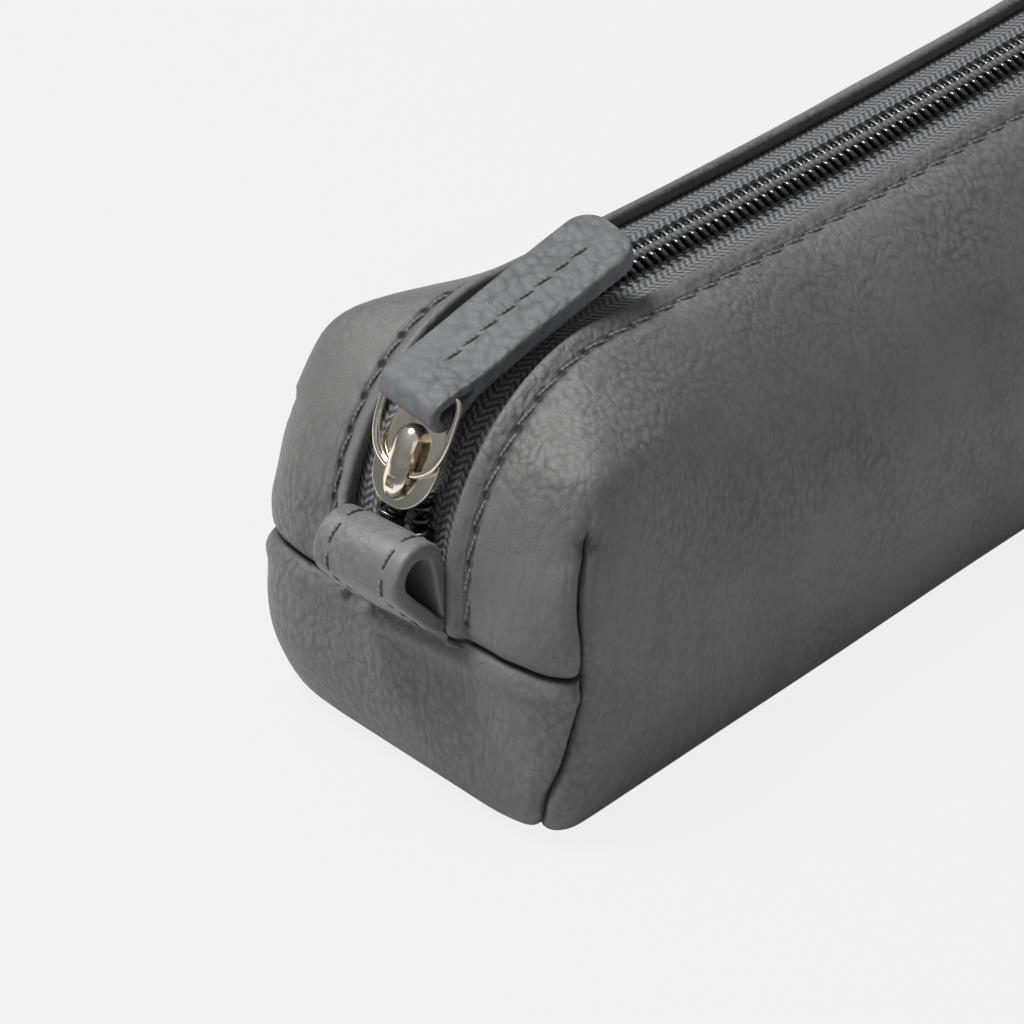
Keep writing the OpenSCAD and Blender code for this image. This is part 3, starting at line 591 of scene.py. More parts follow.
def stitch_dimples_and_shade(tree, base, normal, rough):
    """Needle holes and the pulled-in line along the hem, from the attribute that gives each point
    its length along the zip and its distance from the stitch line, in millimetres, and how far it
    lies in a seam's crease, from 0 to 1. The holes, a band beside the stitch line and the seam's
    crease are painted dark as painted shade."""
    pitch = sizes("pull").stitch_pitch
    place = add_node(tree, "ShaderNodeAttribute", attribute_name="hem").outputs["Vector"]
    split = add_node(tree, "ShaderNodeSeparateXYZ", links=[(place, 0)])
    along, across, crease_shade = split.outputs
    phase = calc(tree, "SUBTRACT", calc(tree, "FRACT", calc(tree, "DIVIDE", along, pitch)), 0.5)
    from_hole = calc(tree, "MULTIPLY", calc(tree, "SUBTRACT", 0.5, calc(tree, "ABSOLUTE", phase)), pitch)
    reach = calc(
        tree, "SQRT",
        calc(
            tree, "ADD", calc(tree, "POWER", from_hole, 2.0),
            calc(tree, "POWER", calc(tree, "MULTIPLY", across, 1.15), 2.0)
        )
    )
    hole = ramp(tree, calc(tree, "DIVIDE", reach, 2.0), [(0.2, 1.0), (0.36, 0.0)])
    pucker = ramp(tree, calc(tree, "DIVIDE", reach, 4.0), [(0.0, 0.0), (0.42, 1.0)])
    line = ramp(tree, calc(tree, "ABSOLUTE", calc(tree, "DIVIDE", across, 2.0)), [(0.0, 0.0), (0.36, 1.0)])
    normal = bump(
        tree, calc(tree, "ADD", calc(tree, "MULTIPLY", pucker, 0.55), calc(tree, "MULTIPLY", line, 0.6)),
        0.6, 0.9, normal
    )
    # Painted shade: the needle holes are painted near black
    base = blend_colours(tree, calc(tree, "MULTIPLY", hole, 0.93), base, grey(0.004))
    # Painted shade: a band along the sunk stitch line is painted darker
    beside = ramp(tree, calc(tree, "ABSOLUTE", across), [(0.3, 1.0), (0.62, 0.0)])
    base = blend_colours(tree, calc(tree, "MULTIPLY", beside, 0.55), base, grey(0.008))
    # Painted shade: the seam's crease is painted near black
    base = blend_colours(tree, calc(tree, "MULTIPLY", crease_shade, 0.93, clamp=True), base, grey(0.004))
    rough = calc(tree, "ADD", rough, calc(tree, "MULTIPLY", calc(tree, "MAXIMUM", hole, crease_shade), 0.3))
    return base, normal, rough


def tape_material(name, colour_value):
    """Polyester zip tape, woven in a herringbone: slanting yarns that turn back in narrow bands."""
    material, tree, bsdf = new_material(
        name, **{"Specular IOR Level": 0.3, "Sheen Weight": 0.25, "Sheen Roughness": 0.4}
    )
    place = add_node(tree, "ShaderNodeUVMap", uv_map="UVMap").outputs[0]
    split = add_node(tree, "ShaderNodeSeparateXYZ", links=[(place, 0)])
    along, across = split.outputs[0], split.outputs[1]
    band, yarn = 1.4 * MM, 1.05 * MM
    zigzag = calc(tree, "PINGPONG", across, band)
    slant = calc(tree, "ADD", along, calc(tree, "MULTIPLY", zigzag, 0.85))
    uneven = add_node(
        tree, "ShaderNodeTexNoise", {"Scale": 1 / (0.7 * MM), "Detail": 2.0}, [(place, "Vector")]
    ).outputs[0]
    slant = calc(tree, "ADD", slant, calc(tree, "MULTIPLY", uneven, 0.35 * MM))
    stripe = calc(tree, "SINE", calc(tree, "MULTIPLY", slant, 2 * math.pi / yarn))
    stripe = calc(tree, "ADD", calc(tree, "MULTIPLY", stripe, 0.5), 0.5)
    cross = calc(tree, "SINE", calc(tree, "MULTIPLY", across, 2 * math.pi / (band / 2)))
    cross = calc(tree, "ADD", calc(tree, "MULTIPLY", cross, 0.5), 0.5)
    where = object_space(tree)
    fuzz = noise(tree, where, 0.18, 2.0, 0.7)
    weave = calc(
        tree, "MULTIPLY", calc(tree, "ADD", calc(tree, "MULTIPLY", stripe, 0.75), 0.25),
        calc(tree, "ADD", calc(tree, "MULTIPLY", cross, 0.45), 0.55)
    )
    height = calc(tree, "ADD", weave, calc(tree, "MULTIPLY", fuzz, 0.35))
    # The weave is painted darker between the yarns and paler on their crowns: painted shade and painted
    # highlight
    dark = tuple(c * 0.24 for c in colour_value)
    pale = tuple(c * 1.3 for c in colour_value)
    shade = calc(tree, "ADD", weave, calc(tree, "MULTIPLY", calc(tree, "SUBTRACT", fuzz, 0.5), 0.5))
    base = blend_colours(tree, ramp(tree, shade, [(0.2, 0.0), (0.8, 1.0)]), dark, pale)
    tree.links.new(base, bsdf.inputs["Base Color"])
    bsdf.inputs["Roughness"].default_value = 0.72
    tree.links.new(bump(tree, height, 0.24, 0.95), bsdf.inputs["Normal"])
    return material


def nylon_material(name, colour_value):
    """Heat-set nylon monofilament: near black, with a bright hard gloss and faint drawing lines."""
    material, tree, bsdf = new_material(
        name, **{"Specular IOR Level": 0.6, "Coat Weight": 0.5, "Coat Roughness": 0.08, "IOR": 1.53}
    )
    where = object_space(tree)
    mottled = noise(tree, where, 0.5, 2.0)
    base = blend_colours(
        tree, mottled, tuple(c * 0.7 for c in colour_value), tuple(c * 1.5 for c in colour_value)
    )
    rough = calc(tree, "ADD", 0.16, calc(tree, "MULTIPLY", noise(tree, where, 0.8, 2.0), 0.16))
    tree.links.new(base, bsdf.inputs["Base Color"])
    tree.links.new(rough, bsdf.inputs["Roughness"])
    tree.links.new(bump(tree, noise(tree, where, 0.3, 2.0), 0.02, 0.4), bsdf.inputs["Normal"])
    return material


def thread_material(name, colour_value):
    """Bonded polyester thread: three plies twisted together, with a dull waxed sheen."""
    material, tree, bsdf = new_material(
        name, **{"Specular IOR Level": 0.35, "Sheen Weight": 0.3, "Sheen Roughness": 0.35}
    )
    where = object_space(tree)
    turned = add_node(
        tree, "ShaderNodeMapping", {"Rotation": (0.6, 0.5, 0.7)}, [(where, "Vector")]
    ).outputs[0]
    ply = add_node(
        tree, "ShaderNodeTexWave", {"Scale": 1 / (0.32 * MM) / 6.3, "Distortion": 0.8, "Detail": 1.0},
        [(turned, "Vector")]
    ).outputs["Fac"]
    # The grooves between the plies are painted darker and their crowns paler: painted shade and painted
    # highlight
    base = blend_colours(
        tree, ply, tuple(c * 0.55 for c in colour_value), tuple(c * 1.35 for c in colour_value)
    )
    tree.links.new(base, bsdf.inputs["Base Color"])
    bsdf.inputs["Roughness"].default_value = 0.6
    tree.links.new(bump(tree, ply, 0.08, 0.8), bsdf.inputs["Normal"])
    return material


def nickel_material(name, colour_value):
    """Bright nickel plate on cast zinc: a mirror with a warm cast, and fine rubbing marks."""
    material, tree, bsdf = new_material(name, **{"Metallic": 1.0})
    where = object_space(tree)
    stains = ramp(tree, noise(tree, where, 2.5, 3.0), [(0.35, 0.0), (0.8, 1.0)])
    base = blend_colours(
        tree, calc(tree, "MULTIPLY", stains, 0.35), colour_value,
        tuple(c * k for c, k in zip(colour_value, (0.86, 0.8, 0.7)))
    )
    scratched = add_node(
        tree, "ShaderNodeMapping", {"Scale": (1, 8, 1), "Rotation": (0.3, 0.9, 0.2)}, [(where, "Vector")]
    ).outputs[0]
    marks = noise(tree, scratched, 0.7, 4.0, 0.7)
    rough = calc(tree, "ADD", 0.07, calc(tree, "MULTIPLY", marks, 0.16))
    tree.links.new(base, bsdf.inputs["Base Color"])
    tree.links.new(rough, bsdf.inputs["Roughness"])
    tree.links.new(bump(tree, noise(tree, where, 0.9, 2.0), 0.025, 0.5), bsdf.inputs["Normal"])
    return material


def cloth_material(name, colour_value):
    """Plain woven lining cloth: fine crossing yarns, matt."""
    material, tree, bsdf = new_material(name, **{"Specular IOR Level": 0.25, "Sheen Weight": 0.2})
    where = object_space(tree)
    yarns = add_node(
        tree, "ShaderNodeTexWave", {"Scale": 1 / (0.6 * MM) / 6.3}, [(where, "Vector")],
        bands_direction="X"
    ).outputs["Fac"]
    others = add_node(
        tree, "ShaderNodeTexWave", {"Scale": 1 / (0.6 * MM) / 6.3}, [(where, "Vector")],
        bands_direction="Z"
    ).outputs["Fac"]
    weave = calc(tree, "MAXIMUM", yarns, others)
    # The gaps between the yarns are painted darker and the yarns paler: painted shade and painted highlight
    base = blend_colours(
        tree, weave, tuple(c * 0.5 for c in colour_value), tuple(c * 1.2 for c in colour_value)
    )
    tree.links.new(base, bsdf.inputs["Base Color"])
    bsdf.inputs["Roughness"].default_value = 0.85
    tree.links.new(bump(tree, weave, 0.1, 0.7), bsdf.inputs["Normal"])
    return material


def material_for(key):
    """The material of a finish, made once."""
    f = sizes("finish")
    names = {
        "body": "milled aniline leather", "loop": "folded strap leather", "tab": "burnished tab leather",
        "tape": "herringbone polyester tape", "coil": "heat-set nylon coil",
        "thread": "bonded polyester thread", "nickel": "bright nickel plate",
        "cloth": "plain woven lining"
    }
    if names[key] in bpy.data.materials:
        return bpy.data.materials[names[key]]
    if key == "body":
        return leather_material(names[key], tuple(f.leather), stitched=True)
    if key == "loop":
        return leather_material(names[key], tuple(f.loop_leather), 0.75, 0.42, 0.8)
    if key == "tab":
        return leather_material(names[key], tuple(f.tab_leather), 1.3, 0.46, 1.5)
    if key == "tape":
        return tape_material(names[key], tuple(f.tape))
    if key == "coil":
        return nylon_material(names[key], tuple(f.coil))
    if key == "thread":
        return thread_material(names[key], tuple(f.thread))
    if key == "nickel":
        return nickel_material(names[key], tuple(f.nickel))
    return cloth_material(names[key], tuple(f.lining))


# leather body


def corner_points(shape, h, angles):
    m = 2 / CORNER_SQUARE(h / shape.c.case_h)
    reach = CORNER_LEN(h / shape.c.case_h)
    t = np.radians(angles)
    x = shape.end_half(h) - reach + reach * np.cos(t).clip(0) ** m
    y = shape.stitch_y + (shape.side_half(h) - shape.stitch_y) * np.sin(t).clip(0) ** m
    return x, y


def side_row(shape, h, first, second, along):
    """One row of a side at a height, from end to end: its x, its y and how far each point lies
    from the corner seam, negative towards the zip."""
    place = float(SEAM_PLACE(h))

    def even(low, high, count, ease):
        # spaces the columns on the outline, closer together beside the seam
        dense = np.linspace(low, high, 200)
        x, y = corner_points(shape, h, dense)
        run = np.concatenate([[0], np.cumsum(np.hypot(np.diff(x), np.diff(y)))])
        share = np.linspace(0, 1, count)
        share = 1 - (1 - share) ** ease if ease > 0 else share ** (-ease)
        return np.interp(share * run[-1], run, dense)

    a = even(0, place, first, 1.5)
    b = even(place, 90, second, -1.5)[1:]
    angles = np.concatenate([a, b])
    x, y = corner_points(shape, h, angles)
    mid = np.linspace(-x[-1], x[-1], along + 1)[1:-1]
    xs = np.concatenate([-x, mid, x[::-1]])
    ys = np.concatenate([y, np.full(len(mid), y[-1]), y[::-1]])
    run = np.concatenate([[0], np.cumsum(np.hypot(np.diff(x), np.diff(y)))])
    run = run - run[first - 1]
    reach = np.concatenate([run, np.full(len(mid), OFF_SEAM), run[::-1]])
    return xs, ys, reach


def soft_noise(points, size, seed):
    """Smooth value noise at points, patches of that many millimetres, between -1 and 1."""
    rng = np.random.default_rng(seed)
    table = rng.uniform(-1, 1, 4096)
    p = np.asarray(points) / size + 100
    cell = np.floor(p).astype(int)
    f = p - cell
    f = f * f * (3 - 2 * f)
    total = np.zeros(p.shape[:-1])
    for corner in range(8):
        d = np.array([(corner >> k) & 1 for k in range(3)])
        weight = np.prod(np.where(d, f, 1 - f), axis=-1)
        q = cell + d
        total += weight * table[(q[..., 0] * 73 + q[..., 1] * 179 + q[..., 2] * 283) % 4096]
    return total


def smooth_step(t):
    t = np.clip(t, 0, 1)
    return t * t * (3 - 2 * t)


def rolled(d, radius, depth):
    """Depth below the surface, at a distance from a seam that both sides roll into."""
    t = np.clip(1 - d / radius, 0, 1)
    return depth * (1 - np.sqrt(1 - t**2 * 0.999))


def far_fall(shape, x, y):
    """How much lower the far side's stitch line lies along the top."""
    return FAR_FALL * smooth_step((shape.flat_x + 12 - np.abs(x)) / 22) * (y > 0)


def body_grid(shape):
    """Rows of points over the outside, where only the rows under the end seam close round the ends.
    Returns the rows, each point's reach from its corner seam, the last low row, and the number of
    columns in a side and in an end panel."""
    c = shape.c
    low_top = shape.low_top
    low = np.concatenate([[0, 0.12, 0.4, 0.9, 1.6], np.linspace(2.5, low_top - 3.2, 12)[:-1],
                          np.linspace(low_top - 3.2, low_top, 12)])
    over_seam = np.array(
        [0.22, 0.4, 0.55, 0.67, 0.77, 0.87, 0.97, 1.09, 1.24, 1.42, 1.7, 2.1, 2.7, 3.5, 4.5, 5.6, 6.9]
    )
    mid = np.concatenate([low_top + over_seam, [shape.arc_z]])
    high = shape.arc_z + c.shoulder_r * np.sin(
        np.radians(np.concatenate([np.arange(2.8, 80, 2.8), [81.5, 84.5, 87.5, 90]]))
    )
    heights = np.concatenate([low, mid, high])
    first, second, along = 20, 18, 126
    panel = np.linspace(-1, 1, 15)[1:-1]
    rows, reaches = [], []
    for h in heights:
        xs, ys, reach = side_row(shape, h, first, second, along)
        e = float(shape.end_half(h))
        w = panel * shape.stitch_y
        off = np.full(len(panel), PANEL_REACH)
        row = np.concatenate([
            np.stack([xs, -ys, np.full(len(xs), h)], 1),
            np.stack([np.full(len(w), e), w, np.full(len(w), h)], 1),
            np.stack([xs[::-1], ys[::-1], np.full(len(xs), h)], 1),
            np.stack([np.full(len(w), -e), w[::-1], np.full(len(w), h)], 1),
        ])
        rows.append(row)
        reaches.append(np.concatenate([reach, off, reach[::-1], off]))
    return np.array(rows), np.array(reaches), len(low) - 1, len(xs), len(panel)


def body_normals(rows, low, n_side, n_panel):
    """Outward normals of the grid."""
    along = np.roll(rows, -1, 1) - np.roll(rows, 1, 1)
    l2, r1, r2 = n_side - 1, n_side + n_panel, 2 * n_side + n_panel - 1
    for j in range(low + 1, len(rows)):
        along[j, 0] = rows[j, 1] - rows[j, 0]
        along[j, l2] = rows[j, l2] - rows[j, l2 - 1]
        along[j, r1] = rows[j, r1 + 1] - rows[j, r1]
        along[j, r2] = rows[j, r2] - rows[j, r2 - 1]
    up = np.gradient(rows, axis=0)
    n = np.cross(along, up)
    return n / np.maximum(np.linalg.norm(n, axis=2), 1e-9)[..., None]


def shaped_body(shape):
    """The outside with its bows, sag, seams and soft hollows."""
    c = shape.c
    rows, reaches, low, n_side, n_panel = body_grid(shape)
    x, y, h = rows[..., 0], rows[..., 1], rows[..., 2]
    out = np.maximum(np.abs(y) - shape.stitch_y, 0) / (shape.half_w - shape.stitch_y)
    flat = rows.copy()
    rows[..., 2] = h - (c.case_h - shape.top_z(x)) * (h / c.case_h) ** 2
    rows[..., 0] = x * (1 - c.end_bow / shape.end_x * out**2)
    rows[..., 1] = y - np.sign(y) * c.side_bow * np.minimum(out, 1) * (x / shape.end_x) ** 2
    # Ears: the sides stay wide nearly up to the shoulders of each end, and lean out over them
    level = flat[..., 2] / c.case_h
    to_side = np.clip(
        (np.abs(y) - shape.stitch_y) / np.maximum(shape.side_half(h) - shape.stitch_y, 1e-3), 0, 1
    )
    from_end = shape.end_x - np.abs(x)
    ears = np.where(y < 0, EAR_NEAR(level), EAR_FAR(level))
    puff = np.exp(-((np.maximum(from_end - 9, 0) / 17) ** 2)) * (ears - SIDE_SHAPE(level))
    rows[..., 1] += np.sign(y) * (shape.half_w - shape.stitch_y) * puff * to_side**1.3
    # The far ear leans back, and the near one folds over in a soft ridge; the foot is a little askew
    end_part = np.exp(-((from_end / 16) ** 2))
    rows[..., 0] -= np.sign(x) * np.where(y > 0, FAR_BOW(level) * to_side**2 * end_part, 0)
    rows[..., 0] += np.where(x < 0, 0.1 * y * np.exp(-((h / 8) ** 2)) * end_part, 0)
    turn = np.degrees(np.arcsin(np.clip((h - shape.arc_z) / c.shoulder_r, 0, 1)))
    below = 0.5 * np.exp(-(((turn - 22) / 11) ** 2))
    above = 0.3 * np.exp(-(((turn - 64) / 10) ** 2))
    fold = np.exp(-np.abs(turn - EAR_FOLD) / 8) - below - above
    fold = fold * smooth_step(to_side / 0.6) * end_part * (y < 0) * (h > shape.arc_z)
    rows[..., 0] += np.sign(x) * fold * np.cos(np.radians(turn))
    rows[..., 2] += fold * np.sin(np.radians(turn))
    # On the far side the leather falls away steeply behind the hem
    fall = far_fall(shape, x, y) * smooth_step(level / 0.8)
    rows[..., 2] -= fall * (flat[..., 2] > shape.arc_z)
    normals = body_normals(rows, low, n_side, n_panel)
    # Corner seams: the end panel and the side roll into a closed line, puckered by its stitches
    waver = 0.16 * soft_noise(flat, 1.9, 21) + 0.12 * soft_noise(flat, 4.5, 22)
    d = np.abs(reaches + waver * np.exp(-np.abs(reaches) / 3))
    fade = smooth_step((c.apex_z + 0.4 - flat[..., 2]) / 1.1)
    fade = fade * (0.35 + 0.65 * smooth_step(flat[..., 2] / 4))
    depth = fade * (rolled(d, 2.1, 1.5) + 0.5 * np.exp(-d / 0.25) + 0.25 * np.exp(-((d / 4.5) ** 2)))
    # crease_shade marks the corner seam's closed line, which the leather is painted near black along as
    # painted shade
    crease_shade = fade * np.exp(-((d / 0.3) ** 2))
    # End seam: the ears above swell over it, the panel below rounds in under them
    under = flat[..., 2] - (c.seam_z - 0.42) + 0.10 * soft_noise(flat, 2.6, 23)
    across = np.where(reaches == OFF_SEAM, 0, np.clip(1 - (reaches + 0.1) / 0.8, 0, 1))
    across = across * (from_end < 20)
    line = rolled(np.abs(under), np.where(under > 0, 2.2, 1.5), np.where(under > 0, 1.3, 0.9))
    depth = depth * (1 - 0.5 * across * np.exp(-((under / 0.6) ** 2)))
    depth = depth + across * (line + 0.45 * np.exp(-np.abs(under) / 0.2))
    beside_zip = np.abs(y) > shape.stitch_y - 0.1
    # The end seam's line under the ears is added to the painted shade
    crease_shade = np.maximum(crease_shade, across * np.exp(-((under / 0.26) ** 2)) * beside_zip)
    ear = np.exp(-(((flat[..., 2] - c.seam_z - 4) / 3.4) ** 2)) * across * smooth_step(out * 2.2)
    depth = depth - 0.55 * ear
    # The panel's folded edge stands out under the seam
    depth = depth - 0.5 * across * np.exp(-(((under + 2.3) / 1.3) ** 2))
    # Soft hollows and swells of a case that has been handled
    hem_clear = np.clip((np.abs(y) - shape.stitch_y) / 5, 0, 1)
    floor_clear = np.clip(flat[..., 2] / 6, 0, 1)
    swell = 0.24 * soft_noise(flat, 24, 3) + 0.08 * soft_noise(flat, 10, 5)
    depth = depth - swell * hem_clear * floor_clear
    # Star of small folds where the corner seam runs out
    dz = flat[..., 2] - (c.apex_z - 1.2)
    away = np.hypot(dz, reaches)
    rays = np.cos(6 * np.arctan2(reaches, dz + 1e-6) + 0.5)
    depth = depth + np.exp(-away / 1.9) * (0.45 + 0.55 * rays) * np.where(y < 0, 1, 0.4)
    # The star's small folds are added to the painted shade
    crease_shade = np.maximum(crease_shade, 0.55 * np.exp(-((away - 0.9) / 1.1) ** 2) * np.clip(rays - 0.35, 0, 1))
    rows = rows - normals * depth[..., None]
    rows[0, :, 2] = 0.0
    rows[..., 2] = np.maximum(rows[..., 2], 0)
    return rows, normals, low, n_side, n_panel, flat, crease_shade, fall


def hem_place(shape, points):
    """Length along the zip's path and distance from the stitch line, for each point."""
    x, y, h = points[..., 0], np.abs(points[..., 1]), points[..., 2]
    ax = np.abs(x)
    r = shape.c.shoulder_r
    theta = np.arctan2(h - shape.arc_z, ax - shape.arc_x)
    in_arc = (ax > shape.flat_x) & (h > shape.arc_z)
    rise = h < shape.arc_z
    scale = shape.tape_r
    l_rise = h - shape.zip_start
    l_arc = shape.rise_len + scale * theta
    l_top = shape.rise_len + shape.bend_len + (shape.flat_x - ax)
    l = np.where(rise & (ax > shape.arc_x), l_rise, np.where(in_arc, l_arc, l_top))
    l = np.where(x > 0, 2 * shape.half_len - l, l)
    off_arc = np.hypot(ax - shape.arc_x, h - shape.arc_z) - r
    off = np.where(in_arc, off_arc, h - shape.top_z(x))
    off = np.where(rise & (ax > shape.arc_x), ax - shape.end_x, off)
    v = np.hypot(y - shape.stitch_y, off) * np.sign(y - shape.stitch_y + 1e-6)
    return np.stack([l, v, np.zeros_like(l)], -1)


# The hem's rounded edge, from the stitch line inwards: (share of the hem's width, lift)
HEM_CHAIN = [
    (0.1, -0.06), (0.26, 0.12), (0.42, 0.5), (0.58, 0.82), (0.74, 1.04), (0.88, 1.08), (0.99, 0.9),
    (1.04, 0.5), (1.03, 0.0), (1.0, -0.5), (0.95, -0.9), (0.8, -1.1)
]
# The same places' lift on the end panel's folded edge
PANEL_LIFTS = [0.03, 0.05, 0.07, 0.08, 0.06, -0.04, -0.2, -0.45, -0.7, -1.0, -1.2, -1.35]


def make_body(shape):
    """One piece of leather: outer skin, turned hem and inner skin, closed."""
    c = shape.c
    rows, normals, low, n_side, n_panel, flat, crease_shade, fall = shaped_body(shape)
    n_rows, n_cols = rows.shape[:2]
    # the turned hem is thicker, and thins out over 5 mm
    near_hem = np.clip(1 - (np.abs(flat[..., 1]) - shape.stitch_y) / 5, 0, 1)
    thick = c.leather_t + (c.hem_t - c.leather_t) * near_hem
    thin = np.where(flat[..., 2] < c.seam_z - 3, c.leather_t, thick)
    inner = rows - normals * thin[..., None]
    inner[0, :, :2] = rows[0, :, :2] * 0.985
    inner[..., 2] = np.maximum(inner[..., 2], c.leather_t)
    skin = n_rows * n_cols
    # first and last column of the near side and of the far side
    l1, l2 = 0, n_side - 1
    r1, r2 = n_side + n_panel, 2 * n_side + n_panel - 1
    top = n_rows - 1
    inward, up = np.array([0, c.hem_stitch, 0]), np.array([0, 0, END_BAND])
    rim = [(low, l1, inward + up)] + [(j, l1, inward) for j in range(low + 1, top + 1)]
    rim += [(top, i, inward) for i in range(l1 + 1, l2 + 1)]
    rim += [(j, l2, inward) for j in range(top - 1, low, -1)] + [(low, l2, inward + up)]
    rim += [(low, i, up) for i in range(l2 + 1, r1)]
    rim += [(low, r1, up - inward)] + [(j, r1, -inward) for j in range(low + 1, top + 1)]
    rim += [(top, i, -inward) for i in range(r1 + 1, r2 + 1)]
    rim += [(j, r2, -inward) for j in range(top - 1, low, -1)] + [(low, r2, up - inward)]
    rim += [(low, i, up) for i in range(r2 + 1, n_cols)]
    chains = []
    links = len(HEM_CHAIN)
    for j, i, way in rim:
        p = rows[j, i]
        height = float(shape.top_z(flat[j, i, 0])) if j == top else flat[j, i, 2]
        nx, nz = shape.path_normal(flat[j, i, 0], height)
        n = np.array([nx, 0, nz])
        at_end = abs(way[1]) < 1e-6
        corner = way[2] > 0 and not at_end
        chain = []
        for (s, lift), panel_lift in zip(HEM_CHAIN, PANEL_LIFTS):
            if at_end:
                lift = panel_lift
            elif corner:
                lift = 0.5 * (lift + panel_lift)
            else:
                lift = lift + fall[j, i] * min(s / 0.6, 1)
            q = p + way * s + n * lift
            if at_end:
                # keeps the end panel's edge clear of the hem's corner
                q[1] = p[1] * (1 - (1 - c.rim_half / shape.stitch_y) * s)
            chain.append(q)
        chains.append(chain)
    chains = np.array(chains)
    points = np.concatenate([rows.reshape(-1, 3), inner.reshape(-1, 3), chains.reshape(-1, 3),
                             [[0, 0, 0], [0, 0, c.leather_t]]])
    base = 2 * skin + len(rim) * links
    faces = []
    for j in range(n_rows - 1):
        if j < low:
            columns = [(i, (i + 1) % n_cols) for i in range(n_cols)]
        else:
            columns = [(i, i + 1) for i in range(l1, l2)] + [(i, i + 1) for i in range(r1, r2)]
        for i, k in columns:
            a, b, d, e = j * n_cols + i, j * n_cols + k, (j + 1) * n_cols + k, (j + 1) * n_cols + i
            faces.append((a, b, d, e))
            faces.append((skin + e, skin + d, skin + b, skin + a))
    for i in range(n_cols):
        k = (i + 1) % n_cols
        faces.append((base, k, i))
        faces.append((base + 1, skin + i, skin + k))

    def link(k, m):
        j, i, _ = rim[k % len(rim)]
        if m == 0:
            return j * n_cols + i
        if m > links:
            return skin + j * n_cols + i
        return 2 * skin + (k % len(rim)) * links + m - 1

    for k in range(len(rim)):
        for m in range(links + 1):
            faces.append((link(k, m), link(k + 1, m), link(k + 1, m + 1), link(k, m + 1)))
    obj = new_object("case_leather", points, faces, material_for("body"))
    outer_place = hem_place(shape, flat)
    outer_place[..., 1] = np.where(flat[..., 2] < c.seam_z + 0.5, OFF_HEM, outer_place[..., 1])
    # The third value carries where the seams' creases are painted dark as painted shade
    outer_place[..., 2] = crease_shade
    off_hem = np.array([OFF_HEM, OFF_HEM, 0.0])
    place = np.concatenate(
        [
            outer_place.reshape(-1, 3), np.tile(off_hem, (skin, 1)), np.zeros((len(rim) * links, 3)),
            np.tile(off_hem, (2, 1))
        ]
    )
    rim_place = hem_place(shape, np.array([flat[j, i] for j, i, _ in rim]))
    on_panel = np.array([abs(way[1]) < 1e-6 or flat[j, i, 2] < c.seam_z + 0.5 for j, i, way in rim])
    for m in range(links):
        rows_of = 2 * skin + np.arange(len(rim)) * links + m
        place[rows_of, 0] = rim_place[:, 0]
        inside = -HEM_CHAIN[m][0] * c.hem_stitch - (0.6 if m > 6 else 0)
        place[rows_of, 1] = np.where(on_panel, OFF_HEM, inside)
    add_vectors(obj, "hem", place)
    bm = bmesh.new()
    bm.from_mesh(obj.data)
    if bm.calc_volume(signed=True) < 0:
        bmesh.ops.reverse_faces(bm, faces=bm.faces)
        bm.to_mesh(obj.data)
    bm.free()
    return obj


# zip


def tape_mesh(shape, side):
    """A woven tape along the whole path, with its own length and width as its UV map."""
    z, c = shape.z, shape.c
    far_start = c.seam_z + 0.1 - shape.zip_start
    bend_y = c.rim_half - 0.2
    outer = [(z.tape_edge, 0), (z.tape_edge + 0.25, 0.04)]
    outer += [(y, 0) for y in np.linspace(z.tape_edge + 0.6, bend_y, 9)]
    outer += [(y, -(y - bend_y) * math.tan(TAPE_SLOPE)) for y in np.linspace(bend_y + 0.8, z.tape_reach, 4)]
    section = [(y, n) for y, n in outer] + [(y, n - z.tape_t) for y, n in reversed(outer)]
    lengths = np.linspace(0, 2 * shape.half_len - far_start, 300)
    rings, uv = [], []
    for l in lengths:
        ring = [shape.at(l, side * y, n)[0] for y, n in section]
        rings.append(ring)
        uv += [(l, y + (0 if k < len(outer) else 20)) for k, (y, n) in enumerate(section)]
    points, faces = skin_rings(np.array(rings))
    obj = new_object(f"woven_tape_{'left' if side < 0 else 'right'}", points, faces, material_for("tape"))
    add_uv(obj, uv)
    outward(obj)
    return obj


def points_object(name, stations):
    """A mesh of loose points that carry the way along and the way out, for the repeating trees."""
    mesh = bpy.data.meshes.new(name)
    mesh.from_pydata([tuple(p * MM) for p, _, _ in stations], [], [])
    obj = bpy.data.objects.new(name, mesh)
    bpy.context.scene.collection.objects.link(obj)
    add_vectors(obj, "along", [a for _, a, _ in stations])
    add_vectors(obj, "out", [o for _, _, o in stations])
    return obj


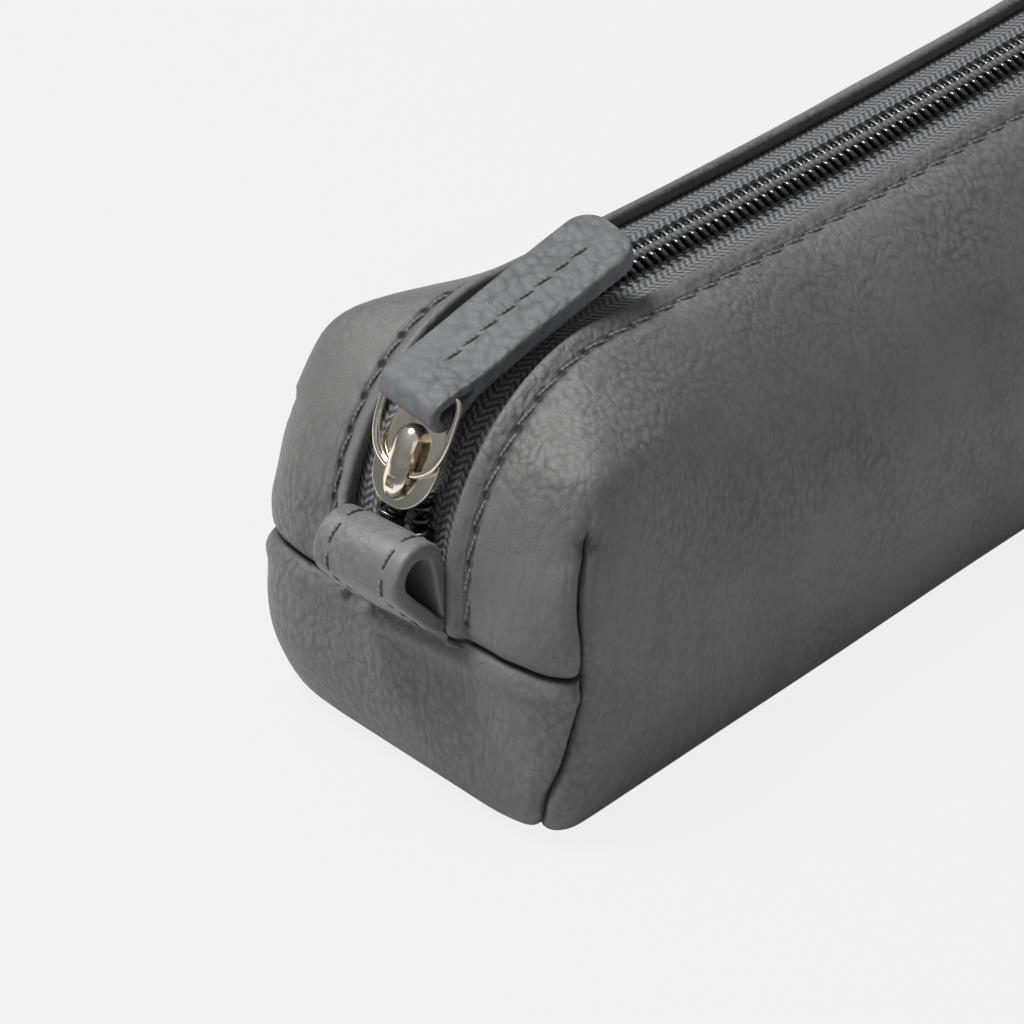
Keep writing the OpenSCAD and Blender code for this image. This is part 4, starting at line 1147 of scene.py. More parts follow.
def repeat_tree(name, shape_maker, inputs):
    """A tree that sets a shape on every point, turned by the point's own ways, and gives it a material."""
    tree = bpy.data.node_groups.new(name, "GeometryNodeTree")
    tree.interface.new_socket("Geometry", in_out="INPUT", socket_type="NodeSocketGeometry")
    for label, kind, value in inputs:
        socket = tree.interface.new_socket(label, in_out="INPUT", socket_type=kind)
        if value is not None:
            socket.default_value = value
    tree.interface.new_socket("Geometry", in_out="OUTPUT", socket_type="NodeSocketGeometry")
    source = add_node(tree, "NodeGroupInput")
    shape_socket = shape_maker(tree, source)
    along = add_node(tree, "GeometryNodeInputNamedAttribute", {"Name": "along"}, data_type="FLOAT_VECTOR")
    out = add_node(tree, "GeometryNodeInputNamedAttribute", {"Name": "out"}, data_type="FLOAT_VECTOR")
    turn = add_node(
        tree, "FunctionNodeAxesToRotation", links=[(along.outputs[0], 0), (out.outputs[0], 1)],
        primary_axis="X", secondary_axis="Z",
    )
    put = add_node(
        tree, "GeometryNodeInstanceOnPoints",
        links=[
            (source.outputs["Geometry"], "Points"), (shape_socket, "Instance"),
            (turn.outputs[0], "Rotation")
        ]
    )
    real = add_node(tree, "GeometryNodeRealizeInstances", links=[(put.outputs[0], 0)])
    smooth = add_node(tree, "GeometryNodeSetShadeSmooth", links=[(real.outputs[0], 0)])
    dressed = add_node(
        tree, "GeometryNodeSetMaterial",
        links=[(smooth.outputs[0], 0), (source.outputs["Material"], "Material")]
    )
    add_node(tree, "NodeGroupOutput", links=[(dressed.outputs[0], 0)])
    return tree


def run_tree(obj, tree, name, values):
    """Runs a tree on an object with values by input name, and returns the result as a plain mesh."""
    modifier = obj.modifiers.new("Repeat", "NODES")
    modifier.node_group = tree
    for item in tree.interface.items_tree:
        if item.item_type == "SOCKET" and item.in_out == "INPUT" and item.name in values:
            modifier[item.identifier] = values[item.name]
    bpy.context.view_layer.update()
    mesh = bpy.data.meshes.new_from_object(obj.evaluated_get(bpy.context.evaluated_depsgraph_get()))
    bpy.data.objects.remove(obj)
    made = bpy.data.objects.new(name, mesh)
    mesh.name = name
    bpy.context.scene.collection.objects.link(made)
    if not mesh.materials:
        mesh.materials.append(values["Material"])
    return made


def stitch_shape(tree, source):
    """A stitch: a thread that rises out of one hole, lies on the leather and dips into the next."""
    curve = add_node(tree, "GeometryNodeCurveQuadraticBezier", {"Resolution": 7})
    half = add_node(
        tree, "ShaderNodeMath", {1: 0.5}, [(source.outputs["Stitch length"], 0)], operation="MULTIPLY"
    ).outputs[0]
    minus = add_node(tree, "ShaderNodeMath", {1: -1.0}, [(half, 0)], operation="MULTIPLY").outputs[0]
    down = add_node(
        tree, "ShaderNodeMath", {1: -1.0}, [(source.outputs["Dip"], 0)], operation="MULTIPLY"
    ).outputs[0]
    skew = add_node(
        tree, "ShaderNodeMath", {1: -1.0}, [(source.outputs["Slant"], 0)], operation="MULTIPLY"
    ).outputs[0]
    for x, y, name in ((minus, source.outputs["Slant"], "Start"), (half, skew, "End")):
        point = add_node(tree, "ShaderNodeCombineXYZ", links=[(x, 0), (y, 1), (down, 2)])
        tree.links.new(point.outputs[0], curve.inputs[name])
    crown = add_node(tree, "ShaderNodeCombineXYZ", links=[(source.outputs["Dip"], 2)])
    tree.links.new(crown.outputs[0], curve.inputs["Middle"])
    ring = add_node(
        tree, "GeometryNodeCurvePrimitiveCircle", {"Resolution": 8},
        [(source.outputs["Thread radius"], "Radius")]
    )
    return add_node(
        tree, "GeometryNodeCurveToMesh", {"Fill Caps": True},
        [(curve.outputs[0], "Curve"), (ring.outputs[0], "Profile Curve")]
    ).outputs[0]


def stitch_row(name, stations, stitch_mm, slant=0.12, thread=None, dip=0.32):
    tree = bpy.data.node_groups.get("Stitch row") or repeat_tree(
        "Stitch row", stitch_shape,
        [
            ("Stitch length", "NodeSocketFloat", 0.003), ("Thread radius", "NodeSocketFloat", 0.00025),
            ("Dip", "NodeSocketFloat", 0.0003), ("Slant", "NodeSocketFloat", 0.0001),
            ("Material", "NodeSocketMaterial", None)
        ]
    )
    thread = thread or sizes("pull").thread_t
    return run_tree(
        points_object(name + "_points", stations), tree, name,
        {
            "Stitch length": stitch_mm * MM, "Thread radius": thread * MM / 2, "Dip": dip * MM,
            "Slant": slant * MM, "Material": material_for("thread")
        }
    )


def given_shape(tree, source):
    """The shape of another object, passed in by name."""
    info = add_node(tree, "GeometryNodeObjectInfo", links=[(source.outputs["Shape"], "Object")])
    return info.outputs["Geometry"]


def coil_turn(shape, side):
    """One turn of the coil: up over the filler cord, across to its head, and back under it."""
    z = shape.z
    wire = z.coil_wire / 2
    low, high = wire + 0.03, z.coil_h - wire
    reach, head = z.coil_reach - wire, z.coil_head - wire * 0.4
    mid = (low + high) / 2
    quarter = z.coil_pitch / 4
    # (x along the zip, y across, height): the two legs lean apart so that turns join at the outside
    route = [
        (-0.15, reach - 0.55, low), (-0.1, 0.9, low + 0.12), (0, -head + 0.25, mid - 0.5),
        (0, -head, mid), (0, -head + 0.25, mid + 0.55), (0.05, 0.5, high - 0.12), (0.1, 1.3, high),
        (0.12, reach - 0.7, high - 0.04), (quarter * 0.8, reach - 0.12, high - 0.5),
        (quarter * 1.4, reach, mid - 0.1), (quarter * 2.1, reach - 0.25, low + 0.1)
    ]
    route = np.array(route)
    dense = []
    for k in range(len(route) - 1):
        dense.append(route[k])
        dense.append((route[k] + route[k + 1]) / 2)
    dense.append(route[-1])
    dense = np.array(dense)
    dense[1:-1] = (dense[:-2] + 2 * dense[1:-1] + dense[2:]) / 4
    dense[:, 1] *= side
    rings = tube_rings(dense, np.tile([1.0, 0, 0], (len(dense), 1)), wire, wire, 7)
    points, faces = skin_rings(rings)
    obj = new_object("turn_shape", points, faces, material_for("coil"))
    outward(obj)
    return obj


def coil_half(shape, side):
    z = shape.z
    first = shape.rise_len + 0.8 + (0 if side < 0 else z.coil_pitch / 2)
    last = 2 * shape.half_len - shape.rise_len
    stations = []
    l = first
    while l < last:
        stations.append(shape.at(l, side * shape.coil_shift(l), 0))
        l += z.coil_pitch
    name = f"nylon_coil_{'left' if side < 0 else 'right'}"
    tree = bpy.data.node_groups.get("Coil turns") or repeat_tree(
        "Coil turns", given_shape,
        [("Shape", "NodeSocketObject", None), ("Material", "NodeSocketMaterial", None)]
    )
    turn = coil_turn(shape, side)
    made = run_tree(
        points_object(name + "_points", stations), tree, name,
        {"Shape": turn, "Material": material_for("coil")}
    )
    bpy.data.objects.remove(turn)
    return made


def coil_threads(shape, side):
    """The chain of sewing thread that ties each turn down, seen as a fuzzy band between the heads."""
    z = shape.z
    first = shape.rise_len + 1.2
    last = 2 * shape.half_len - shape.rise_len - 0.5
    stations = []
    l = first
    while l < last:
        p, along, out = shape.at(l, side * (0.5 + shape.coil_shift(l)), z.coil_h - 0.34)
        stations.append((p, along, out))
        l += z.coil_pitch
    return stitch_row(
        f"coil_sewing_{'left' if side < 0 else 'right'}", stations, z.coil_pitch * 0.86, 0.14, 1.15, 0.12
    )


def rim_stitch_row(shape, side):
    pitch = sizes("pull").stitch_pitch
    first = math.ceil((shape.rise_len - 6) / pitch) * pitch + pitch / 2
    stations = []
    slope = math.radians(24)
    l = first
    # the holes stand where the length along the path is a whole number of pitches
    while l < 2 * shape.half_len - first + pitch / 2:
        p, along, out = shape.at(l, side * shape.stitch_y, TAPE_DROP + 0.06)
        p[2] -= float(far_fall(shape, p[0], p[1]))
        tilt = out * math.cos(slope) + np.array([0, side * math.sin(slope), 0])
        stations.append((p, along, tilt))
        l += pitch
    return stitch_row(
        f"hem_stitches_{'left' if side < 0 else 'right'}", stations, pitch * 0.84, 0.24, 0.44, 0.34
    )


# slider


def slider_frame(shape):
    p, along, out = shape.at(shape.slider_l)
    return p, along, np.cross(out, along), out


def on_slider(shape, points):
    p, along, across, out = slider_frame(shape)
    return placed(points, p, along, across, out)


# A plate's half width as a share, along it from its narrow end to its wide one
PLATE_SHAPE = [
    (-1, 0.18), (-0.97, 0.34), (-0.9, 0.52), (-0.78, 0.7), (-0.56, 0.88), (-0.3, 0.97), (0, 1),
    (0.26, 0.96), (0.52, 0.88), (0.8, 0.82), (0.96, 0.78), (1, 0.7)
]


def mirrored(points):
    return points + [(x, -y) for x, y in reversed(points)]


def plate_outline(shape, half):
    """Outline of a plate, smoothed."""
    table = smooth_table(PLATE_SHAPE)
    places = np.concatenate([[-1, -0.985, -0.96, -0.92, -0.86], np.linspace(-0.78, 0.9, 14), [0.96, 0.99, 1]])
    return mirrored([(p * shape.z.slider_len / 2, float(table(p)) * half) for p in places])


def slider_piece(name, shape, solids, bevel, segments=3):
    points, faces, count = [], [], 0
    for part_points, part_faces in solids:
        points.append(on_slider(shape, part_points))
        faces += [tuple(i + count for i in f) for f in part_faces]
        count += len(part_points)
    obj = new_object(name, np.concatenate(points), faces, material_for("nickel"))
    outward(obj)
    bevelled(obj, bevel, segments)
    obj.data.shade_smooth()
    return obj


def make_slider_body(shape):
    z = shape.z
    arc_fall = (z.slider_len / 2) ** 2 / (2 * shape.tape_r)
    under = -z.tape_t - arc_fall - z.run_gap
    half = z.slider_w / 2
    turns = np.linspace(0, 2 * math.pi, 16, endpoint=False)
    hole = [(3 + 0.5 * math.cos(a), 0.5 * math.sin(a)) for a in turns]
    solids = [
        prism(plate_outline(shape, half), shape.plate_low, shape.plate_high, [hole]),
        prism(plate_outline(shape, half), under - z.under_t, under),
        prism(
            mirrored([(-4.9, 0.25), (-4.3, 0.7), (-2.6, 0.7), (-1.2, 0.25)]), under - 0.2,
            shape.plate_low + 0.2
        )
    ]
    steps = [-2.4, -1.2, 0, 1.2, 2.4, 3.6, 4.8, z.slider_len / 2]
    table = smooth_table(PLATE_SHAPE)
    inner = [(s, z.coil_reach + z.run_gap + shape.coil_shift(shape.slider_l + s) * 0.98) for s in steps]
    outer = [(s, max(y + 0.35, half * float(table(2 * s / z.slider_len)))) for s, y in reversed(inner)]
    for side in (1, -1):
        solids.append(
            prism([(x, side * y) for x, y in inner + outer], z.run_gap + 0.1, shape.plate_low + 0.3)
        )
    return slider_piece("slider_plates", shape, solids, 0.14)


# Where the cap's two legs stand along the slider
CAP_BACK = -4.9
CAP_FRONT = 4.3


def cap_profile(shape, inset):
    """Side outline of the arched cap, from its nose leg over to its front leg."""
    z = shape.z
    top = shape.plate_high + z.cap_h - inset
    a, b = CAP_BACK + inset, CAP_FRONT - inset
    foot = shape.plate_high + 0.02
    line = [
        (a, foot), (a + 0.02, top - 1.5), (a + 0.2, top - 1.05), (a + 0.7, top - 0.7),
        (a + 1.5, top - 0.42), (a + 2.6, top - 0.2), (a + 4.0, top - 0.02), (b - 2.9, top + 0.04),
        (b - 1.9, top - 0.04), (b - 1.0, top - 0.28), (b - 0.35, top - 0.7), (b - 0.05, top - 1.2),
        (b, foot)
    ]
    return line


def make_slider_cap(shape):
    """The cap: a strip that arches from the nose to the front, crowned across its width."""
    z = shape.z
    outer = np.array(cap_profile(shape, 0))
    inner = np.array(cap_profile(shape, z.cap_t))

    def even(line, count):
        run = np.concatenate([[0], np.cumsum(np.hypot(*np.diff(line, axis=0).T))])
        t = np.linspace(0, run[-1], count)
        return np.stack([np.interp(t, run, line[:, 0]), np.interp(t, run, line[:, 1])], 1)

    count = 44
    a, b = even(outer, count), even(inner, count)
    a[1:-1] = (a[:-2] + 2 * a[1:-1] + a[2:]) / 4
    widths = np.linspace(-1, 1, 9)
    rings = []
    for k in range(count):
        s = a[k, 0]
        waist = 0.10 * math.cos((s + 0.3) / 4.6 * math.pi / 2) - 0.12 * max(0, -(s + 3.2))
        half = z.cap_w / 2 * (1.0 + waist)
        normal = a[k] - b[k]
        normal = normal / max(np.linalg.norm(normal), 1e-6)
        top = [(a[k] - normal * 0.72 * abs(w) ** 2.2, half * w) for w in widths]
        bottom = [(b[k], half * w * 0.94) for w in reversed(widths)]
        rings.append([(p[0], y, p[1]) for p, y in top + bottom])
    points, faces = skin_rings(np.array(rings))
    obj = new_object("slider_bridge", on_slider(shape, points), faces, material_for("nickel"))
    outward(obj)
    # The window stamped over the nose end
    low, high = shape.plate_high + z.cap_h - 1.15, shape.plate_high + z.cap_h + 1
    cut_points, cut_faces = prism([(-3.55, -0.62), (-2.25, -0.62), (-2.25, 0.62), (-3.55, 0.62)], low, high)
    cutter = new_object("cutter", on_slider(shape, cut_points), cut_faces)
    outward(cutter)
    finish_modifiers(obj, ("BOOLEAN", {"operation": "DIFFERENCE", "object": cutter, "solver": "EXACT"}))
    bpy.data.objects.remove(cutter)
    bevelled(obj, 0.1, 3, 35)
    obj.data.shade_smooth()
    return obj


def make_spring(shape):
    z = shape.z
    low = shape.plate_high + z.cap_h - z.cap_t - 0.2
    leaf = prism([(-2.1, -1), (3.3, -1), (3.3, 1), (-2.1, 1)], low, low + 0.18)
    pin = prism([(2.9, -0.4), (3.1, -0.4), (3.1, 0.4), (2.9, 0.4)], z.coil_h + 0.05, low + 0.1)
    return slider_piece("spring_leaf", shape, [leaf, pin], 0.03, segments=2)


# pull


# Where the ring's lower bar lies along the slider, and how far the ring tilts up from it
BAR_S = -1.4
RING_TILT = math.radians(4.5)
# Length of the tab's rounded tip, its rows' distance from each end, and the stitches' pitch
TAB_TIP = 3.2
TAB_MARGIN = 4.2
TAB_PITCH = 2.7


def ring_frame(shape):
    """Origin at the ring's lower bar, X to the bar in the tab, Z off the slider."""
    p, along, across, out = slider_frame(shape)
    bar_n = shape.plate_high + 0.2 + sizes("pull").ring_t / 2
    x = along * math.cos(RING_TILT) + out * math.sin(RING_TILT)
    z = out * math.cos(RING_TILT) - along * math.sin(RING_TILT)
    return p + along * BAR_S + out * bar_n, x, across, z


def ring_route(pull):
    """Middle line of the ring's wire as (x, y), all the way round."""
    half, long = pull.ring_w / 2 - pull.arm_w / 2, pull.ring_len
    right = [(0, 0), (0, 0.2 * half), (0, 0.36 * half), (0.06 * long, 0.6 * half), (0.15 * long, 0.79 * half),
             (0.3 * long, 0.93 * half), (0.47 * long, 0.99 * half), (0.7 * long, half), (long - 1.3, half),
             (long - 0.45, half - 0.16), (long - 0.05, half - 0.8), (long, half - 1.6), (long, 0)]
    return np.array(right + [(x, -y) for x, y in reversed(right[1:-1])])


def smooth_loop(points, count, passes=2):
    """Evenly spaced points round a closed line, rounded a little."""
    line = np.concatenate([points, points[:1]])
    run = np.concatenate([[0], np.cumsum(np.linalg.norm(np.diff(line, axis=0), axis=1))])
    t = np.linspace(0, run[-1], count, endpoint=False)
    even = np.stack([np.interp(t, run, line[:, k]) for k in range(line.shape[1])], 1)
    for _ in range(passes):
        even = (np.roll(even, 1, 0) + 2 * even + np.roll(even, -1, 0)) / 4
    return even


def make_ring(shape):
    """The pull ring: flat stamped wire with rounded edges."""
    pull = sizes("pull")
    route = smooth_loop(ring_route(pull), 132, 3)
    centre = np.concatenate([route, np.zeros((len(route), 1))], 1)
    ahead = np.roll(centre, -1, 0) - np.roll(centre, 1, 0)
    ahead /= np.linalg.norm(ahead, axis=1)[:, None]
    side = np.cross([0, 0, 1.0], ahead)
    half_w, half_t = pull.arm_w / 2, pull.ring_t / 2
    section = []
    for a in np.linspace(0, 2 * math.pi, 16, endpoint=False):
        ca, sa = math.cos(a), math.sin(a)
        k = 3.2
        u = math.copysign(abs(ca) ** (2 / k), ca) * half_w
        v = math.copysign(abs(sa) ** (2 / k), sa) * half_t
        section.append((u, v))
    rings = np.array([[c + s * u + np.array([0, 0, v]) for u, v in section] for c, s in zip(centre, side)])
    points, faces = skin_rings(rings, closed=True)
    obj = new_object("pull_ring_wire", placed(points, *ring_frame(shape)), faces, material_for("nickel"))
    outward(obj)
    obj.data.shade_smooth()
    return obj


def tab_frame(shape):
    pull = sizes("pull")
    origin, x = ring_frame(shape)[:2]
    bar = origin + x * pull.ring_len
    arm = np.array([bar[0] + shape.arc_x, bar[2] - shape.arc_z])
    clear = shape.tape_r + shape.z.coil_h + shape.z.run_gap + pull.tab_t
    least = math.atan2(arm[1], arm[0]) - math.pi + math.asin(min(clear / np.linalg.norm(arm), 1))
    rise = max(math.radians(pull.tab_rise), least)
    x_way = np.array([math.cos(rise), 0, math.sin(rise)])
    z_way = np.array([-math.sin(rise), 0, math.cos(rise)])
    return bar, x_way, np.array([0, 1.0, 0]), z_way


def tab_bend(shape, points):
    """Lays points of the straight tab as it hangs: turned, leaning and slightly bowed."""
    pull = sizes("pull")
    p = np.array(points, float)
    d = np.clip(p[:, 0] - 1.0, 0, None)
    roll = math.radians(pull.tab_roll) * (0.6 + 0.4 * smooth_step(d / 6))
    y, z = p[:, 1] * np.cos(roll) - p[:, 2] * np.sin(roll), p[:, 1] * np.sin(roll) + p[:, 2] * np.cos(roll)
    bow = 0.25 * np.sin(np.clip(d / (pull.tab_len - 1), 0, 1) * math.pi)
    yaw, x = math.radians(pull.tab_yaw), p[:, 0] - pull.tab_slip
    p[:, 0] = x * math.cos(yaw) + y * math.sin(yaw)
    p[:, 1] = y * math.cos(yaw) - x * math.sin(yaw)
    p[:, 2] = z + bow - 0.25
    return placed(p, *tab_frame(shape))


def tab_outline_half(pull, x):
    """Half width of the tab at a place along it: straight edges and a rounded tip."""
    from_tip = pull.tab_len - x
    half = pull.tab_w / 2
    if from_tip >= TAB_TIP:
        return half
    return half - TAB_TIP + math.sqrt(max(TAB_TIP**2 - (TAB_TIP - from_tip) ** 2, 0))


def make_tab(shape):
    """A strip folded round the ring's bar and glued to itself, with rounded edges."""
    pull = sizes("pull")
    t = pull.tab_t
    inner = pull.ring_t / 2 + 0.5
    outer, eye_z = inner + t, -0.5
    rings = []

    def slab(x, low, high, half):
        """Section of the tab across its width at x, with rounded edges."""
        r = min(0.42, (high - low) * 0.3, max(half * 0.5, 0.02))
        corners = [
            (half - r, high - r, 0), (-half + r, high - r, 1), (-half + r, low + r, 2),
            (half - r, low + r, 3)
        ]
        ring = []
        for cy, cz, q in corners:
            if q == 1:
                ring += [(x, yy, high) for yy in np.linspace(half - r, -half + r, 11)[1:-1]]
            if q == 3:
                ring += [(x, yy, low) for yy in np.linspace(-half + r, half - r, 11)[1:-1]]
            for a in np.linspace(0, math.pi / 2, 4):
                b = q * math.pi / 2 + a
                ring.append((x, cy + r * math.cos(b), cz + r * math.sin(b)))
            if q == 1:
                # the glue line shows as a faint groove between the two layers
                ring += [(x, -half, 0.22), (x, -half + 0.13, 0.0), (x, -half, -0.22)]
        ring += [(x, half, -0.22), (x, half - 0.13, 0.0), (x, half, 0.22)]
        return ring

    straight = np.linspace(6.2, pull.tab_len - TAB_TIP - 0.1, 28)
    tip = pull.tab_len - TAB_TIP * (1 - np.sin(np.linspace(0, 0.97, 14) * math.pi / 2))[1:]
    for x in np.concatenate([[4.4, 5.0, 5.6], straight, tip]):
        half = tab_outline_half(pull, x)
        thin = 1 - 0.10 * math.exp(-((pull.tab_len - x) / 1.2)) - 0.03 * max(6.2 - x, 0)
        half -= 0.05 * max(6.2 - x, 0)
        rings.append(slab(x, -t * thin, t * thin, half))
    points, faces = skin_rings(np.array(rings))
    # The fold: a teardrop sleeve round the bar that closes where the layers meet
    outer_line, inner_line = [], []
    start = math.radians(84)
    for a in np.linspace(start, 2 * math.pi - start, 26):
        outer_line.append((outer * math.cos(a), outer * math.sin(a) + eye_z))
        inner_line.append((inner * math.cos(a), inner * math.sin(a) + eye_z))
    places = (7.2, 6.4, 5.8, 5.2, 4.6, 4.0, 3.4, 2.8, 2.2, 1.6, 0.9)
    swing = [float(smooth_step((5.6 - x) / 5.2)) - 0.06 * max(x - 5.6, 0) for x in places]
    over = [(x, t + (outer - t + eye_z) * w) for x, w in zip(places, swing)]
    under = [(x, -t - (outer - t - eye_z) * w) for x, w in zip(places, swing)]
    over_in = [(x, 0.03 + (inner - 0.03 + eye_z) * w) for x, w in zip(places, swing)]
    under_in = [(x, -0.03 - (inner - 0.03 - eye_z) * w) for x, w in zip(places, swing)]
    outer_line = over + outer_line + under[::-1]
    inner_line = over_in + inner_line + under_in[::-1]
    half = pull.tab_w / 2
    widths = [-1, -0.985, -0.95, -0.8, -0.5, 0, 0.5, 0.8, 0.95, 0.985, 1]

    def edge_rounding(w):
        """How far a face of the fold sinks into it, as a share, beside its edges."""
        if abs(w) <= 0.95:
            return 0
        return 0.28 * (1 - math.sqrt(max(1 - ((abs(w) - 0.95) / 0.05) ** 2, 0)))

    fold = []
    for (ox, oz), (ix, iz) in zip(outer_line, inner_line):
        ring = []
        for w in widths:
            shrink = edge_rounding(w)
            ring.append((ox + (ix - ox) * shrink, half * w, oz + (iz - oz) * shrink))
        for w in reversed(widths):
            shrink = edge_rounding(w)
            ring.append((ix + (ox - ix) * shrink, half * w, iz + (oz - iz) * shrink))
        fold.append(ring)
    fold_points, fold_faces = skin_rings(np.array(fold))
    points = np.concatenate([points, fold_points])
    faces = faces + [tuple(i + len(points) - len(fold_points) for i in f) for f in fold_faces]
    obj = new_object("tab_leather_strip", tab_bend(shape, points), faces, material_for("tab"))
    outward(obj)
    obj.data.shade_smooth()
    return obj


def tab_stitch_row(shape):
    pull = sizes("pull")
    run = pull.tab_len - TAB_MARGIN - TAB_MARGIN
    count = max(int(run / TAB_PITCH), 1)
    step = run / count
    stations = []
    for face in (1, -1):
        for k in range(count):
            x = TAB_MARGIN + (k + 0.5) * step
            lift = face * (pull.tab_t + 0.1)
            p = tab_bend(shape, [(x - 0.1, 0, lift), (x + 0.1, 0, lift), (x, 0, face * 3)])
            along, out = p[1] - p[0], p[2] - p[0]
            along, out = along / np.linalg.norm(along), out / np.linalg.norm(out)
            stations.append(((p[0] + p[1]) / 2, along, out))
    return stitch_row("tab_stitching", stations, step * 0.84, 0.18, 0.46, 0.26)


# end loop


# Distance of the loop's stitch rows from its edges, and the stitches' pitch
LOOP_MARGIN = 2.3
LOOP_PITCH = 3.0


def loop_line(shape):
    """Middle line of the strap as (x, z): up the front, over the round end and down the back."""
    pull, c = sizes("pull"), shape.c
    eye = np.array([-shape.end_x - 5, c.seam_z + 10])
    root = np.array([-shape.end_x - 1.1, c.seam_z + 2.4])
    r, rr = pull.loop_r - pull.loop_t / 2, 0.95
    d = np.linalg.norm(root - eye)
    base = math.atan2(*(root - eye)[::-1])
    t = math.acos((r - rr) / d)
    line = [root + [2.6, -0.9], root + rr * np.array([math.cos(base - t), math.sin(base - t)])]
    a0, a1 = base - t, base + t - 2 * math.pi
    line += [eye + r * np.array([math.cos(a), math.sin(a)]) for a in np.linspace(a0, a1, 26)]
    line += [root + rr * np.array([math.cos(base + t), math.sin(base + t)]), root + [2.9, 0.15]]
    return np.array(line)


def make_loop(shape):
    """The strap, folded over and caught in the seam, with rounded edges."""
    pull = sizes("pull")
    line = loop_line(shape)
    run = np.concatenate([[0], np.cumsum(np.linalg.norm(np.diff(line, axis=0), axis=1))])
    s = np.linspace(0, run[-1], 60)
    line = np.stack([np.interp(s, run, line[:, k]) for k in (0, 1)], 1)
    for _ in range(2):
        line[1:-1] = (line[:-2] + 2 * line[1:-1] + line[2:]) / 4
    ahead = np.gradient(line, axis=0)
    ahead /= np.linalg.norm(ahead, axis=1)[:, None]
    out = np.stack([ahead[:, 1], -ahead[:, 0]], 1)
    centre = np.array([-shape.end_x - 4, shape.c.seam_z + 8])
    if ((line - centre) * out).sum() < 0:
        out = -out
    half_w, half_t = pull.loop_w / 2, pull.loop_t / 2
    section = []
    r = 0.5
    corners = [
        (half_w - r, half_t - r, 0), (-half_w + r, half_t - r, 1), (-half_w + r, -half_t + r, 2),
        (half_w - r, -half_t + r, 3)
    ]
    for cy, cz, q in corners:
        if q == 1:
            section += [(yy, half_t) for yy in np.linspace(half_w - r, -half_w + r, 14)[1:-1]]
        if q == 3:
            section += [(yy, -half_t) for yy in np.linspace(-half_w + r, half_w - r, 6)[1:-1]]
        for a in np.linspace(0, math.pi / 2, 5):
            b = q * math.pi / 2 + a
            section.append((cy + r * math.cos(b), cz + r * math.sin(b)))
    rings = []
    for p, n in zip(line, out):
        ring = []
        for y, lift in section:
            # the stitched margins are pulled in, so the middle stands slightly proud
            edge = abs(y) - (half_w - LOOP_MARGIN)
            pulled = -0.16 * math.exp(-((edge / 0.5) ** 2)) if lift > 0.3 else 0
            crown = 0.12 * math.cos(y / half_w * math.pi / 2) if lift > 0.3 else 0
            q = p + n * (lift + pulled + crown)
            ring.append((q[0], y + pull.loop_y, q[1]))
        rings.append(ring)
    points, faces = skin_rings(np.array(rings))
    points = points + 0.06 * soft_noise(points, 5, 9)[:, None]
    obj = new_object("loop_strap", points, faces, material_for("loop"))
    outward(obj)
    obj.data.shade_smooth()
    return obj


def loop_stitch_rows(shape):
    pull = sizes("pull")
    line = loop_line(shape)
    run = np.concatenate([[0], np.cumsum(np.linalg.norm(np.diff(line, axis=0), axis=1))])
    stations = []
    for side in (-1, 1):
        s = run[1] + 1.2
        while s < run[-2] - 4:
            p = np.array([np.interp(s, run, line[:, k]) for k in (0, 1)])
            q = np.array([np.interp(s + 0.2, run, line[:, k]) for k in (0, 1)])
            o = np.array([np.interp(s - 0.2, run, line[:, k]) for k in (0, 1)])
            ahead = (q - o) / np.linalg.norm(q - o)
            out = np.array([ahead[1], -ahead[0]])
            centre = np.array([-shape.end_x - 4.6, shape.c.seam_z + 9])
            if np.dot(p - centre, out) < 0:
                out = -out
            p = p + out * (pull.loop_t / 2 - 0.02)
            y = pull.loop_y + side * (pull.loop_w / 2 - LOOP_MARGIN)
            place = np.array([p[0], y, p[1]])
            stations.append((place, np.array([ahead[0], 0, ahead[1]]), np.array([out[0], 0, out[1]])))
            s += LOOP_PITCH
    return stitch_row("loop_stitching", stations, LOOP_PITCH * 0.8, 0.1, 0.42, 0.26)


# operators


class PieceOperator:
    """Shared settings of the operators that make a piece"""

    bl_options = {"REGISTER", "UNDO"}


def set_piece(obj, body, slot, *nodes):
    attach(obj, body)
    if nodes:
        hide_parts(*nodes)


class MakeLeatherBody(PieceOperator, bpy.types.Operator):
    """Makes the leather body with its hems, seams and soft corners"""

    bl_idname = "pencil_case.leather_body"
    bl_label = "Leather body"

    def execute(self, context):
        set_piece(make_body(Shape()), "case", "body_leather", "leather_body")
        return {"FINISHED"}


class MakeHemStitches(PieceOperator, bpy.types.Operator):
    """Sews the two rows of stitches along the hems"""

    bl_idname = "pencil_case.hem_stitches"
    bl_label = "Hem stitches"

    def execute(self, context):
        shape = Shape()
        for side, node in ((-1, "rim_stitches_left"), (1, "rim_stitches_right")):
            set_piece(rim_stitch_row(shape, side), "case", "thread", node)
        return {"FINISHED"}


class MakeZip(PieceOperator, bpy.types.Operator):
    """Makes the woven tapes, the two halves of the coil and the thread that ties them down"""

    bl_idname = "pencil_case.zip"
    bl_label = "Zip"

    def execute(self, context):
        shape = Shape()
        for side, name in ((-1, "left"), (1, "right")):
            set_piece(tape_mesh(shape, side), "case", "zip_tape", "zip_tape_" + name)
            set_piece(coil_half(shape, side), "case", "coil_nylon", "zip_coil_" + name)
        set_piece(coil_threads(shape, -1), "case", "thread")
        return {"FINISHED"}


class MakeSlider(PieceOperator, bpy.types.Operator):
    """Makes the slider's plates, its cap and its lock spring"""

    bl_idname = "pencil_case.slider"
    bl_label = "Slider"

    def execute(self, context):
        shape = Shape()
        set_piece(make_slider_body(shape), "slider", "nickel", "slider_body")
        set_piece(make_slider_cap(shape), "slider", "nickel", "slider_cap")
        set_piece(make_spring(shape), "slider", "nickel", "lock_spring")
        return {"FINISHED"}


